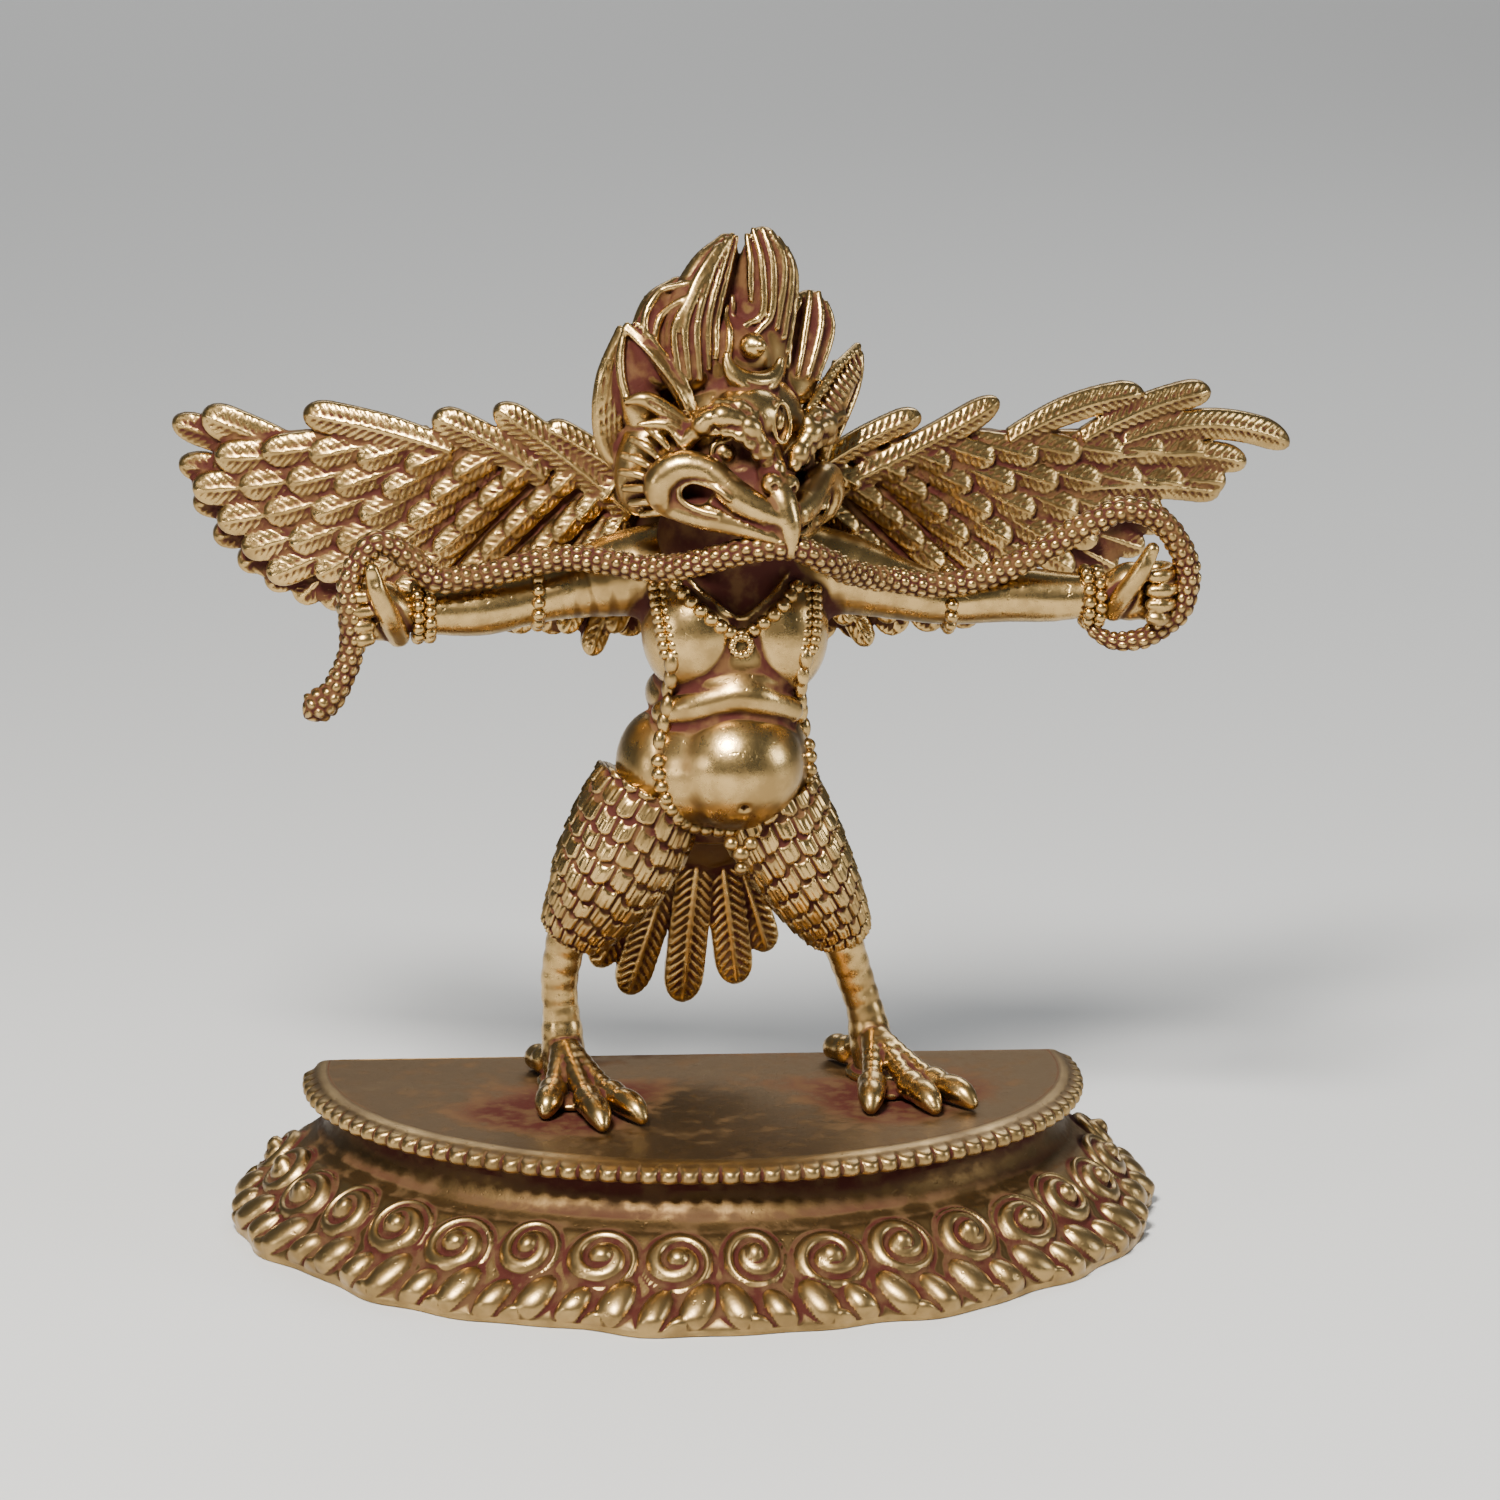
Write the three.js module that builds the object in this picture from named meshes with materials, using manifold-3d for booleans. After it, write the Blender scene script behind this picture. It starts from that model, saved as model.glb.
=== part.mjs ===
// Garuda, the bird king, standing on a half-oval plinth with a serpent in his beak and hands.
// Millimetres, +Z up. The figure faces -Y, and +X is on his left hand side.
// The origin lies on the underside of the plinth, below the middle of the figure.
// Two castings make the object: the plinth, and the figure with wings and serpent in one.

import * as THREE from 'three';
import { mergeVertices } from 'three/addons/utils/BufferGeometryUtils.js';
import Module from 'manifold-3d';

// Figure: height of the crest above the top of the plinth. Every other size of the figure
// is a share of it, so that the pose keeps its proportions.
const FIGURE_HEIGHT = 88;

// Plinth: an oval that sits a little askew and is cut off straight behind the figure.
const PLINTH_HEIGHT = 14;
const OVAL_HALF_WIDTH = 38.4;
const OVAL_HALF_DEPTH = 31.3;
const OVAL_CENTRE_Y = 6.5;
const OVAL_SKEW = -9;
const PLINTH_BACK = 13.3;
const SKIRT_SPREAD = 9.2;
const SKIRT_FRONT_SPREAD = 11;
const BACK_DRAW = 0.35;
const RIM_HEIGHT = 2.3;
const BEAD_PITCH = 1.95;
const BEAD_BULGE = 0.8;
const SCROLL_COUNT = 19;
const SCROLL_RADIUS = 3.1;
const CRIMP_DEPTH = 0.7;

// The feet rest on the plinth with this clearance.
const SEAT_GAP = 0.05;

// Joins leave crumbs of surface. Edges shorter than this are closed up.
const SHORTEST_EDGE = 0.3;
const THINNEST_FACE = 0.03;

// Head: turned to the figure's left and tipped a little, in degrees.
const HEAD_TURN = 25;
const HEAD_TILT = 9.9;

const SCALE = FIGURE_HEIGHT / 100;
const wasm = await Module();
wasm.setup();

// A point of the figure, in percent of its height, with z = 0 on top of the plinth.
function at(x, y, z) {
  return new THREE.Vector3(x * SCALE, y * SCALE, z * SCALE);
}

function signedVolume(positions, index) {
  const [a, b, c] = [new THREE.Vector3(), new THREE.Vector3(), new THREE.Vector3()];
  let volume = 0;
  for (let i = 0; i < index.length; i += 3) {
    a.fromArray(positions, index[i] * 3);
    b.fromArray(positions, index[i + 1] * 3);
    c.fromArray(positions, index[i + 2] * 3);
    volume += a.dot(b.cross(c)) / 6;
  }
  return volume;
}

// Turns a closed geometry into a solid with its faces pointing out.
function toSolid(geometry) {
  const bare = geometry.clone();
  bare.deleteAttribute('normal');
  bare.deleteAttribute('uv');
  const merged = mergeVertices(bare, 1e-4);
  const vertProperties = new Float32Array(merged.attributes.position.array);
  const triVerts = new Uint32Array(merged.index.array);
  if (signedVolume(vertProperties, triVerts) < 0) {
    for (let i = 0; i < triVerts.length; i += 3) {
      [triVerts[i], triVerts[i + 1]] = [triVerts[i + 1], triVerts[i]];
    }
  }
  return new wasm.Manifold(new wasm.Mesh({ numProp: 3, vertProperties, triVerts }));
}

// A triangle's normal, as long as twice its area.
function normalOf(a, b, c) {
  return b.clone().sub(a).cross(c.clone().sub(a));
}

// The surface of a solid as points, faces, and the faces round each point.
function openUp(solid) {
  const mesh = solid.getMesh();
  const points = [];
  for (let i = 0; i < mesh.vertProperties.length; i += 3) {
    points.push(new THREE.Vector3().fromArray(mesh.vertProperties, i));
  }
  const faces = [];
  const around = points.map(() => new Set());
  for (let i = 0; i < mesh.triVerts.length; i += 3) {
    const face = Array.from(mesh.triVerts.slice(i, i + 3));
    face.forEach((v) => around[v].add(faces.length));
    faces.push(face);
  }
  return { points, faces, around };
}

function neighbours({ faces, around }, v) {
  return new Set([...around[v]].flatMap((f) => faces[f]).filter((w) => w !== v));
}

// Draws b together with a, unless that would fold or pinch the surface. Points that all but
// meet are always drawn together: the faces between them have no direction to keep.
function closeEdge(surface, a, b) {
  const { points, faces, around } = surface;
  const nextToB = neighbours(surface, b);
  const shared = [...neighbours(surface, a)].filter((v) => nextToB.has(v));
  if (shared.length !== 2) return false;
  const middle = points[a].clone().lerp(points[b], 0.5);
  const meeting = points[a].distanceTo(points[b]) < 0.01;
  for (const f of meeting ? [] : new Set([...around[a], ...around[b]])) {
    const face = faces[f];
    if (face.includes(a) && face.includes(b)) continue;
    const before = normalOf(...face.map((v) => points[v]));
    const after = normalOf(...face.map((v) => (v === a || v === b ? middle : points[v])));
    if (after.length() < 1e-4 || before.dot(after) < 0.3 * before.length() * after.length()) return false;
  }
  points[a].copy(middle);
  for (const f of around[b]) {
    if (faces[f].includes(a)) {
      faces[f].forEach((v) => v !== b && around[v].delete(f));
      faces[f] = null;
    } else {
      faces[f] = faces[f].map((v) => (v === b ? a : v));
      around[a].add(f);
    }
  }
  around[b] = new Set();
  return true;
}

// Turns a sliver's longest edge, so that its area goes to the face beyond that edge.
function turnEdge({ points, faces, around }, f) {
  const face = faces[f];
  const lengths = face.map((v, i) => points[v].distanceTo(points[face[(i + 1) % 3]]));
  const longest = lengths.indexOf(Math.max(...lengths));
  const [p, q, r] = [face[longest], face[(longest + 1) % 3], face[(longest + 2) % 3]];
  if (normalOf(points[p], points[q], points[r]).length() > THINNEST_FACE * lengths[longest]) return false;
  const beyond = [...around[p]].find((g) => g !== f && around[q].has(g));
  if (beyond === undefined) return false;
  const s = faces[beyond].find((v) => v !== p && v !== q);
  if ([...around[r]].some((g) => around[s].has(g))) return false;
  const old = normalOf(...faces[beyond].map((v) => points[v]));
  const made = [[p, s, r], [s, q, r]];
  const fits = made.every((corners) => {
    const normal = normalOf(...corners.map((v) => points[v]));
    return normal.length() > 1e-4 && normal.dot(old) > 0.3 * normal.length() * old.length();
  });
  if (!fits) return false;
  [faces[f], faces[beyond]] = made;
  around[p].delete(f);
  around[p].delete(beyond);
  around[q].delete(f);
  around[q].delete(beyond);
  made.forEach((corners, i) => corners.forEach((v) => around[v].add(i ? beyond : f)));
  return true;
}

function toGeometry(solid) {
  const surface = openUp(solid);
  const { points, faces } = surface;
  let changed = true;
  for (let pass = 0; pass < 8 && changed; pass++) {
    changed = false;
    const edges = [];
    for (const face of faces.filter(Boolean)) {
      face.forEach((a, i) => {
        const b = face[(i + 1) % 3];
        const length = points[a].distanceTo(points[b]);
        if (a < b && length < SHORTEST_EDGE) edges.push([length, a, b]);
      });
    }
    edges.sort((one, other) => one[0] - other[0]);
    for (const [, a, b] of edges) {
      if (neighbours(surface, a).has(b)) changed = closeEdge(surface, a, b) || changed;
    }
    faces.forEach((face, f) => {
      if (faces[f]) changed = turnEdge(surface, f) || changed;
    });
  }
  const kept = faces.filter(Boolean);
  const used = [...new Set(kept.flat())];
  const place = new Map(used.map((v, i) => [v, i]));
  const geometry = new THREE.BufferGeometry().setFromPoints(used.map((v) => points[v]));
  geometry.setIndex(kept.flat().map((v) => place.get(v)));
  return geometry;
}

function join(solids) {
  return solids.reduce((whole, solid) => whole.add(solid));
}

// A closed skin over rings that all have the same number of points.
function loft(rings) {
  const sides = rings[0].length;
  const index = [];
  for (let r = 0; r + 1 < rings.length; r++) {
    for (let i = 0; i < sides; i++) {
      const a = r * sides + i;
      const b = r * sides + ((i + 1) % sides);
      index.push(a, b, b + sides, a, b + sides, a + sides);
    }
  }
  const last = (rings.length - 1) * sides;
  for (let i = 1; i + 1 < sides; i++) {
    index.push(0, i + 1, i, last, last + i, last + i + 1);
  }
  const geometry = new THREE.BufferGeometry().setFromPoints(rings.flat());
  geometry.setIndex(index);
  return toSolid(geometry);
}

// A limb through stations [x, y, z, half width, half depth], in percent or in the given frame.
function limb(stations, sides = 8, frame = at, up = new THREE.Vector3(0, 1, 0)) {
  const centres = stations.map(([x, y, z]) => frame(x, y, z));
  const rings = stations.map(([, , , across, deep = across], i) => {
    const before = centres[Math.max(i - 1, 0)];
    const after = centres[Math.min(i + 1, centres.length - 1)];
    const along = after.clone().sub(before).normalize();
    const side = along.clone().cross(up).normalize();
    const front = side.clone().cross(along).normalize();
    const ring = [];
    for (let k = 0; k < sides; k++) {
      const angle = (2 * Math.PI * (k + 0.5)) / sides;
      const point = centres[i].clone();
      point.addScaledVector(side, across * SCALE * Math.cos(angle));
      point.addScaledVector(front, deep * SCALE * Math.sin(angle));
      ring.push(point);
    }
    return ring;
  });
  return loft(rings);
}

function ellipsoid([x, y, z], [rx, ry, rz], frame = at, around = 10, rows = 6) {
  const geometry = new THREE.SphereGeometry(1, around, rows);
  const place = geometry.attributes.position;
  for (let i = 0; i < place.count; i++) {
    const point = frame(x + rx * place.getX(i), y + ry * place.getY(i), z + rz * place.getZ(i));
    place.setXYZ(i, point.x, point.y, point.z);
  }
  return toSolid(geometry);
}

// Rows of the trunk: height, centre x and y, half width, depth in front and behind.
const TRUNK = [
  [27, 1.2, 1.5, 4.0, 3.5, 3.5],
  [30, 1.5, 0.9, 8.2, 6.0, 6.5],
  [34, 1.8, -0.3, 10.3, 8.6, 7.8],
  [38, 2.1, -0.9, 10.8, 10.0, 8.0],
  [42, 2.4, -0.8, 9.8, 9.2, 7.5],
  [45, 2.8, -0.3, 7.9, 6.6, 6.8],
  [47.5, 3.2, -0.3, 8.4, 7.3, 6.8],
  [49.5, 3.5, 0, 8.6, 6.6, 6.8],
  [53, 4.0, 0, 10.2, 7.4, 7.0],
  [57, 4.2, 0.5, 11.3, 6.6, 7.0],
  [60.5, 4.5, 1.0, 11.5, 5.2, 6.5],
  [63.5, 4.8, 0.8, 8.5, 4.6, 5.5],
  [67, 4.8, 0, 5.8, 5.0, 5.4],
  [71, 4.4, -1, 5.6, 5.2, 5.6],
];

function trunk() {
  const sides = 10;
  const rings = TRUNK.map(([z, x, y, half, front, back]) => {
    const ring = [];
    for (let k = 0; k < sides; k++) {
      const angle = (2 * Math.PI * k) / sides;
      const depth = Math.sin(angle) < 0 ? front : back;
      ring.push(at(x + half * Math.cos(angle), y + depth * Math.sin(angle), z));
    }
    return ring;
  });
  return join([
    loft(rings),
    ellipsoid([4, -4.2, 38.2], [8.4, 7.0, 7.8], at, 10, 6),
    ellipsoid([-0.8, -4.2, 53.6], [6.0, 4.6, 5.4], at, 7, 4),
    ellipsoid([9.2, -3.8, 53.2], [5.8, 4.6, 5.4], at, 7, 4),
  ]);
}

// Strings of beads on the trunk: a V necklace, and a long string down each side that
// meets in a pendant under the belly.
function beadStrings() {
  const thick = 0.75;
  const strings = [
    [[-3.4, -4.8, 60.4], [3.8, -9.2, 54.4], [10.4, -4.8, 59.6]],
    [[-5.4, -4.2, 60.6], [-3.8, -7.4, 50.5], [-5.4, -8.4, 40], [-2.6, -10.2, 33.2], [4.2, -8.8, 29]],
    [[12.4, -4.0, 59.8], [10.9, -6.8, 50], [12.6, -7.2, 40], [10.6, -9.4, 33], [4.2, -8.8, 29]],
  ];
  return strings.map((string) => limb(string.map((p) => [...p, thick]), 4));
}

// Arms from the shoulder to the wrist, for the figure's right (-X) and left (+X). The two
// narrow swellings on each are the armlet and the bracelet.
const ARMS = {
  right: [[-3, 1.2, 61, 5.6, 4.8], [-9, 0.4, 60.3, 4.9, 4.6], [-15, -0.3, 59, 3.4],
    [-17.6, -0.7, 58.4, 2.6], [-18.4, -0.7, 58.2, 3.5], [-19.2, -0.8, 58, 2.7], [-24, -1.3, 57.4, 3.3],
    [-30.2, -2.2, 57.1, 2.5], [-31.1, -2.4, 57.2, 3.4], [-32, -2.6, 57.3, 2.4], [-35, -3.4, 57.6, 2.3]],
  left: [[11, 1.2, 60.6, 5.6, 4.8], [17, 0.4, 59.6, 4.7, 4.6], [24, -0.5, 57.6, 3.2],
    [27.4, -0.9, 56.9, 2.6], [28.2, -1.0, 56.8, 3.5], [29, -1.1, 56.8, 2.7], [35, -1.8, 57.4, 3.3],
    [43.4, -2.9, 57, 2.5], [44.3, -3.0, 57.1, 3.4], [45.2, -3.2, 57.3, 2.4], [48, -3.6, 57.6, 2.3]],
};

function hand(x, z, side) {
  const solids = [
    ellipsoid([x, -4, z], [3.2, 2.8, 3.6], at, 6, 4),
    limb([[x + side * 0.5, -5.4, z - 0.6, 1.3], [x + side * 0.9, -6.6, z + 1.8, 1.2],
      [x + side * 0.9, -6.8, z + 4.4, 0.8]], 4),
  ];
  // Four curled fingers in one block, with a groove between each and the next. The outline
  // starts behind the middle finger, from where the whole of it is in sight for the end faces.
  const knuckles = [[-1.4, -5.2, 0.8], [1.8, -6.8, 1], [3.9, -4.8, 0.9]].map(([out, y, share]) => {
    const behind = (level) => at(x + side * out * 0.8, y + 2.2, z + level);
    const face = [3.0, 2.1, 1.2, 0.3, -0.6, -1.5, -2.4, -3.3].map((level, i) => (
      at(x + side * out, y - (i % 2 ? 0.1 : 0.9), z - 0.4 + level * share)
    ));
    return [behind(-0.4), behind(2.6 * share), ...face, behind(-3.6 * share)];
  });
  solids.push(loft(knuckles));
  return solids;
}

function arms() {
  return [
    limb(ARMS.right, 7),
    limb(ARMS.left, 7),
    ...hand(-35.8, 57.8, -1),
    ...hand(48.6, 57.8, 1),
  ];
}

// Thigh rows: centre x, y, z, half width, half depth. Each row steps out below the one
// above it, as the tiers of its feathers do.
const LEGS = [
  {
    thigh: [[-5.5, -0.5, 35.5, 6.4, 7.4], [-7.4, -0.8, 32, 6.8, 7.2], [-9.0, -0.9, 28.7, 6.7, 6.8],
      [-10.6, -0.7, 25.6, 6.2, 6.2], [-12.0, -0.1, 22.8, 5.4, 5.4], [-13.5, 0.8, 20.2, 4.2, 4.4]],
    hem: 18.2,
    shank: [[-14.6, 1.9, 20, 2.5], [-15.9, 2.4, 13, 2.2], [-15.8, 2.3, 8.8, 2.15],
      [-15.7, 2.0, 6, 2.8], [-15.6, 1.2, 3, 3.0], [-15.6, 0.8, -0.6, 2.5]],
    toes: [[-18.9, -11.4], [-12.8, -17.0], [-8.0, -14.8]],
    spur: [-18.6, 8.6],
  },
  {
    thigh: [[7.6, -0.3, 34, 6.2, 7.2], [9.2, -0.6, 30.6, 6.1, 6.9], [10.9, -0.7, 27.4, 5.8, 6.4],
      [12.6, -0.5, 24.4, 5.3, 5.8], [14.2, 0.1, 21.6, 4.6, 5.0], [15.6, 0.9, 18.9, 3.6, 4.0]],
    hem: 16.6,
    shank: [[16.0, 1.6, 18.5, 2.5], [18.4, 2.3, 11.2, 2.2], [19.4, 2.2, 8, 2.15],
      [19.9, 1.9, 5.4, 2.8], [20.2, 1.1, 2.8, 3.0], [20.3, 0.6, -0.6, 2.5]],
    toes: [[17.8, -14.2], [25.2, -15.3], [29.8, -13.8]],
    spur: [16.2, 8.4],
  },
];

function toe([footX, footY], [tipX, tipY]) {
  const along = (t, z, radius) => [
    THREE.MathUtils.lerp(footX, tipX, t),
    THREE.MathUtils.lerp(footY, tipY, t),
    z,
    radius,
    radius * 1.05,
  ];
  return limb([
    along(0, 2.4, 1.9),
    along(0.35, 2.0, 1.45),
    along(0.66, 1.4, 1.6),
    along(0.84, 1.3, 1.15),
    along(1, 0.2, 0.4),
  ], 5, at, new THREE.Vector3(0, 0, 1));
}

function leg({ thigh, hem, shank, toes, spur }) {
  const tiers = [];
  thigh.forEach(([x, y, z, wide, deep], i) => {
    const next = i + 1 < thigh.length ? thigh[i + 1] : [x, y, hem];
    const [nx, ny, nz] = next;
    const edge = 0.12;
    tiers.push([x, y, z, wide * 0.97, deep * 0.97]);
    tiers.push([
      THREE.MathUtils.lerp(nx, x, edge),
      THREE.MathUtils.lerp(ny, y, edge),
      THREE.MathUtils.lerp(nz, z, edge),
      wide * 1.03,
      deep * 1.03,
    ]);
  });
  const foot = [shank.at(-1)[0], shank.at(-1)[1]];
  return [
    limb(tiers, 8),
    limb(shank, 6),
    ...toes.map((tip) => toe(foot, tip)),
    toe([foot[0], foot[1] + 1], spur),
  ];
}

// One feather, a three-sided blade with its shaft as the ridge. Root and tip are in the (a, b)
// sheet of the given surface, and the third coordinate lifts it off the sheet.
function feather(surface, root, tip, half, { bow = 0, rise = 1, lift = 0.4, thick = 0.75 } = {}) {
  const [da, db] = [tip[0] - root[0], tip[1] - root[1]];
  const length = Math.hypot(da, db);
  const [na, nb] = [-db / length, da / length];
  const stations = bow ? [[0, 0.6], [0.45, 1], [0.8, 0.9], [1, 0.4]] : [[0, 0.7], [0.7, 1], [1, 0.4]];
  const rings = stations.map(([t, share]) => {
    const swing = 4 * bow * t * (1 - t);
    const a = root[0] + da * t + na * swing;
    const b = root[1] + db * t + nb * swing;
    const height = lift + rise * t;
    const wide = half * share;
    return [
      surface(a + na * wide, b + nb * wide, height - 0.6),
      surface(a, b, height + thick * (0.5 + 0.5 * share)),
      surface(a - na * wide, b - nb * wide, height - 0.6),
    ];
  });
  return loft(rings);
}

// Each wing is a curved sheet. s runs outward from the spine and h upward, in percent.
const SPINE_X = 4;
const WING_BACK = 6;

const WINGS = [
  {
    side: -1,
    sheet: [[2, 69, 57], [14, 72, 53.6], [22, 73.4, 52.4], [32, 74.4, 53.2], [42, 74.4, 54.4],
      [49, 73.8, 57.4], [55, 73, 64]],
    lead: [[47.5, 76.9, 31, 73, 0.4, 1.9], [33, 77, 20.5, 70, 0.5, 1.9],
      [26.1, 78.2, 11, 66, 0.4, 1.9], [20.6, 76.1, 9.5, 69, 0.3, 1.7]],
    fans: [{ s: 36, h: 67, count: 8, first: 17, step: 10.2, reach: 27.4, fall: 0.16, half: 1.75, lift: -0.7 },
      { s: 36, h: 67, count: 4, first: 22, step: 14, reach: 24.6, fall: 0.2, half: 2.1, lift: 0.2 }],
    trail: [9.5, 40, 52.6, -72],
    aim: [-46, 1.15, 24],
    area: [[12, 71, 62], [24, 72.6, 58], [36, 74, 55], [46, 74, 58], [52, 72, 63]],
  },
  {
    side: 1,
    sheet: [[2, 69, 57], [14, 73, 52.6], [22, 74.2, 52.2], [30, 73.8, 54.4], [40, 73.2, 58.6],
      [48, 72.8, 62.4], [54, 71.6, 66]],
    lead: [[22.4, 76.4, 9, 70, 0.6, 1.5], [31.8, 77.4, 10, 67.6, -0.4, 1.7],
      [49.6, 77, 33, 72.6, 1.1, 1.7], [58, 76.6, 42, 72, 0.9, 1.7], [68.4, 69.4, 47, 71.4, 2.2, 1.8],
      [62.8, 67.6, 45, 69.8, 0.8, 1.7], [59.4, 64.4, 42, 66.4, 0.6, 1.6]],
    fans: [{ s: 30, h: 66, count: 3, first: -12, step: 11, reach: 24, fall: 0.25, half: 1.8, lift: -0.5 }],
    trail: [9.5, 28, 51.6, -78],
    aim: [-26, 0.7, 34],
    area: [[12, 71, 58], [24, 72.6, 57], [36, 72.4, 60], [46, 71.6, 64], [52, 70.6, 66]],
  },
];

function wingSheet(side) {
  return (s, h, lift) => at(SPINE_X + side * s, WING_BACK + 0.12 * s + 0.002 * s * s - lift, h);
}

// The value of a table of [s, ...values] rows at s.
function between(table, s, column) {
  const last = table.length - 1;
  const i = Math.min(Math.max(table.findIndex((row) => row[0] > s) - 1, 0), last - 1);
  const row = s >= table[last][0] ? last - 1 : i;
  const share = THREE.MathUtils.clamp((s - table[row][0]) / (table[row + 1][0] - table[row][0]), 0, 1);
  return THREE.MathUtils.lerp(table[row][column], table[row + 1][column], share);
}

function polar([s, h], degrees, distance) {
  const angle = THREE.MathUtils.degToRad(degrees);
  return [s + distance * Math.cos(angle), h + distance * Math.sin(angle)];
}

function wing({ side, sheet, lead, fans, trail, aim, area }) {
  const surface = wingSheet(side);
  const core = loft(sheet.map(([s, top, bottom]) => [
    surface(s, top, 0.2),
    surface(s, top - 2, 1.0),
    surface(s, bottom + 2, 1.0),
    surface(s, bottom, 0.2),
    surface(s, bottom + 2, -1.1),
    surface(s, top - 2, -1.1),
  ]));
  const solids = [core, ellipsoid([SPINE_X + side * 7.5, 4.5, 64], [5.5, 4.2, 5.5], at, 7, 4)];
  for (const fan of fans) {
    for (let i = 0; i < fan.count; i++) {
      const angle = fan.first - fan.step * i;
      const reach = fan.reach - fan.fall * (fan.first - angle);
      const root = polar([fan.s, fan.h], angle, reach * 0.5);
      const tip = polar([fan.s, fan.h], angle, reach);
      solids.push(feather(surface, root, tip, fan.half, { lift: fan.lift, rise: 0.5 }));
    }
  }
  const [trailStart, trailEnd, trailHeight, trailAngle] = trail;
  for (let s = trailStart; s <= trailEnd; s += 7) {
    const root = [s, trailHeight + 5];
    solids.push(feather(surface, root, polar(root, trailAngle + 0.5 * s, 6.4), 3.0, { lift: -0.4, rise: 0.4 }));
  }
  for (let row = 0; row < 3; row++) {
    for (let s = 13.5 + (row % 2) * 3.6; s < 52; s += 7.2) {
      const top = between(area, s, 1);
      const h = top - 1.6 - row * 5.4;
      if (h < between(area, s, 2) || s + row > 51) continue;
      const angle = aim[0] + aim[1] * (s - 12) - (aim[2] * (74 - h)) / 19;
      const root = [s, h];
      solids.push(feather(surface, polar(root, angle, -1.2), polar(root, angle, 6.2), 2.6, { lift: 0.7, rise: 1.1 }));
    }
  }
  for (const [tipS, tipH, rootS, rootH, bow, half] of lead) {
    solids.push(feather(surface, [rootS, rootH], [tipS, tipH], half, { bow, lift: 0.9, rise: 0.3 }));
  }
  return join(solids);
}

const TAIL_ROOT = [1.5, 31];
const TAIL_TIPS = [[-11, 11.6, 1.9], [-7.4, 8.2, 2.1], [-1.1, 7.2, 2.2], [5.4, 9.2, 2.1], [9, 13, 1.9]];

function tail() {
  const surface = (x, z, lift) => at(x, 12.2 - 0.18 * z - lift, z);
  const solids = TAIL_TIPS.map(([x, z, half], i) => {
    const root = [TAIL_ROOT[0] + (x - TAIL_ROOT[0]) * 0.25, TAIL_ROOT[1]];
    return feather(surface, root, [x, z], half, { lift: i % 2, rise: 0.4 });
  });
  solids.push(ellipsoid([1.8, 5.6, 27], [7.6, 3.4, 7], at, 8, 4));
  return join(solids);
}

const HEAD_CENTRE = [3.7, -4, 76.4];

// A point of the head: l to the figure's left, f forward, u up, from the middle of the skull.
function onHead(l, f, u) {
  const turn = THREE.MathUtils.degToRad(HEAD_TURN);
  const tilt = THREE.MathUtils.degToRad(HEAD_TILT);
  const across = l * Math.cos(tilt) + u * Math.sin(tilt);
  const up = u * Math.cos(tilt) - l * Math.sin(tilt);
  const x = HEAD_CENTRE[0] + across * Math.cos(turn) + f * Math.sin(turn);
  const y = HEAD_CENTRE[1] + across * Math.sin(turn) - f * Math.cos(turn);
  return at(x, y, HEAD_CENTRE[2] + up);
}

// A pointed lock or ear on the head, from root to tip through a middle point.
function lock(root, middle, tip, half, thick) {
  const curve = new THREE.CatmullRomCurve3([root, middle, tip].map((p) => new THREE.Vector3(...p)));
  const stations = [[0, 0.8], [0.4, 1.1], [0.78, 0.85], [1, 0.25]].map(([t, share]) => {
    const point = curve.getPoint(t);
    return [point.x, point.y, point.z, half * share, thick * (0.5 + 0.5 * share)];
  });
  const facing = onHead(0, 1, 0).sub(onHead(0, 0, 0)).normalize();
  return limb(stations, 4, onHead, facing);
}

function beak() {
  const across = onHead(1, 0, 0).sub(onHead(0, 0, 0)).normalize();
  const upper = [[0, 5, -2.2, 3.2, 5.2], [0, 9.4, -3.4, 2.7, 3.5], [0, 12.0, -5.0, 2.0, 2.3],
    [0, 13.5, -7.6, 1.3, 1.3], [0.2, 13.6, -11, 0.5, 0.4]];
  const lower = [[0, 3.5, -7.6, 2.4, 5.4], [0, 9, -8.3, 1.5, 3.0], [0, 12.6, -9.2, 0.5, 0.7]];
  const solids = [limb(upper, 6, onHead, across), limb(lower, 5, onHead, across)];
  for (const side of [-1, 1]) {
    const lip = [[1.6, 12.6, -7.0, 0.6], [4.4, 9.8, -5.4, 0.9], [7.4, 6.4, -3.2, 1.0],
      [8.8, 4.6, -5.4, 1.0], [7.2, 6.0, -7.8, 0.9], [3.0, 9.4, -8.6, 0.7]];
    solids.push(limb(lip.map(([l, f, u, r]) => [side * l, f, u, r]), 4, onHead, across));
  }
  return solids;
}

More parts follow.
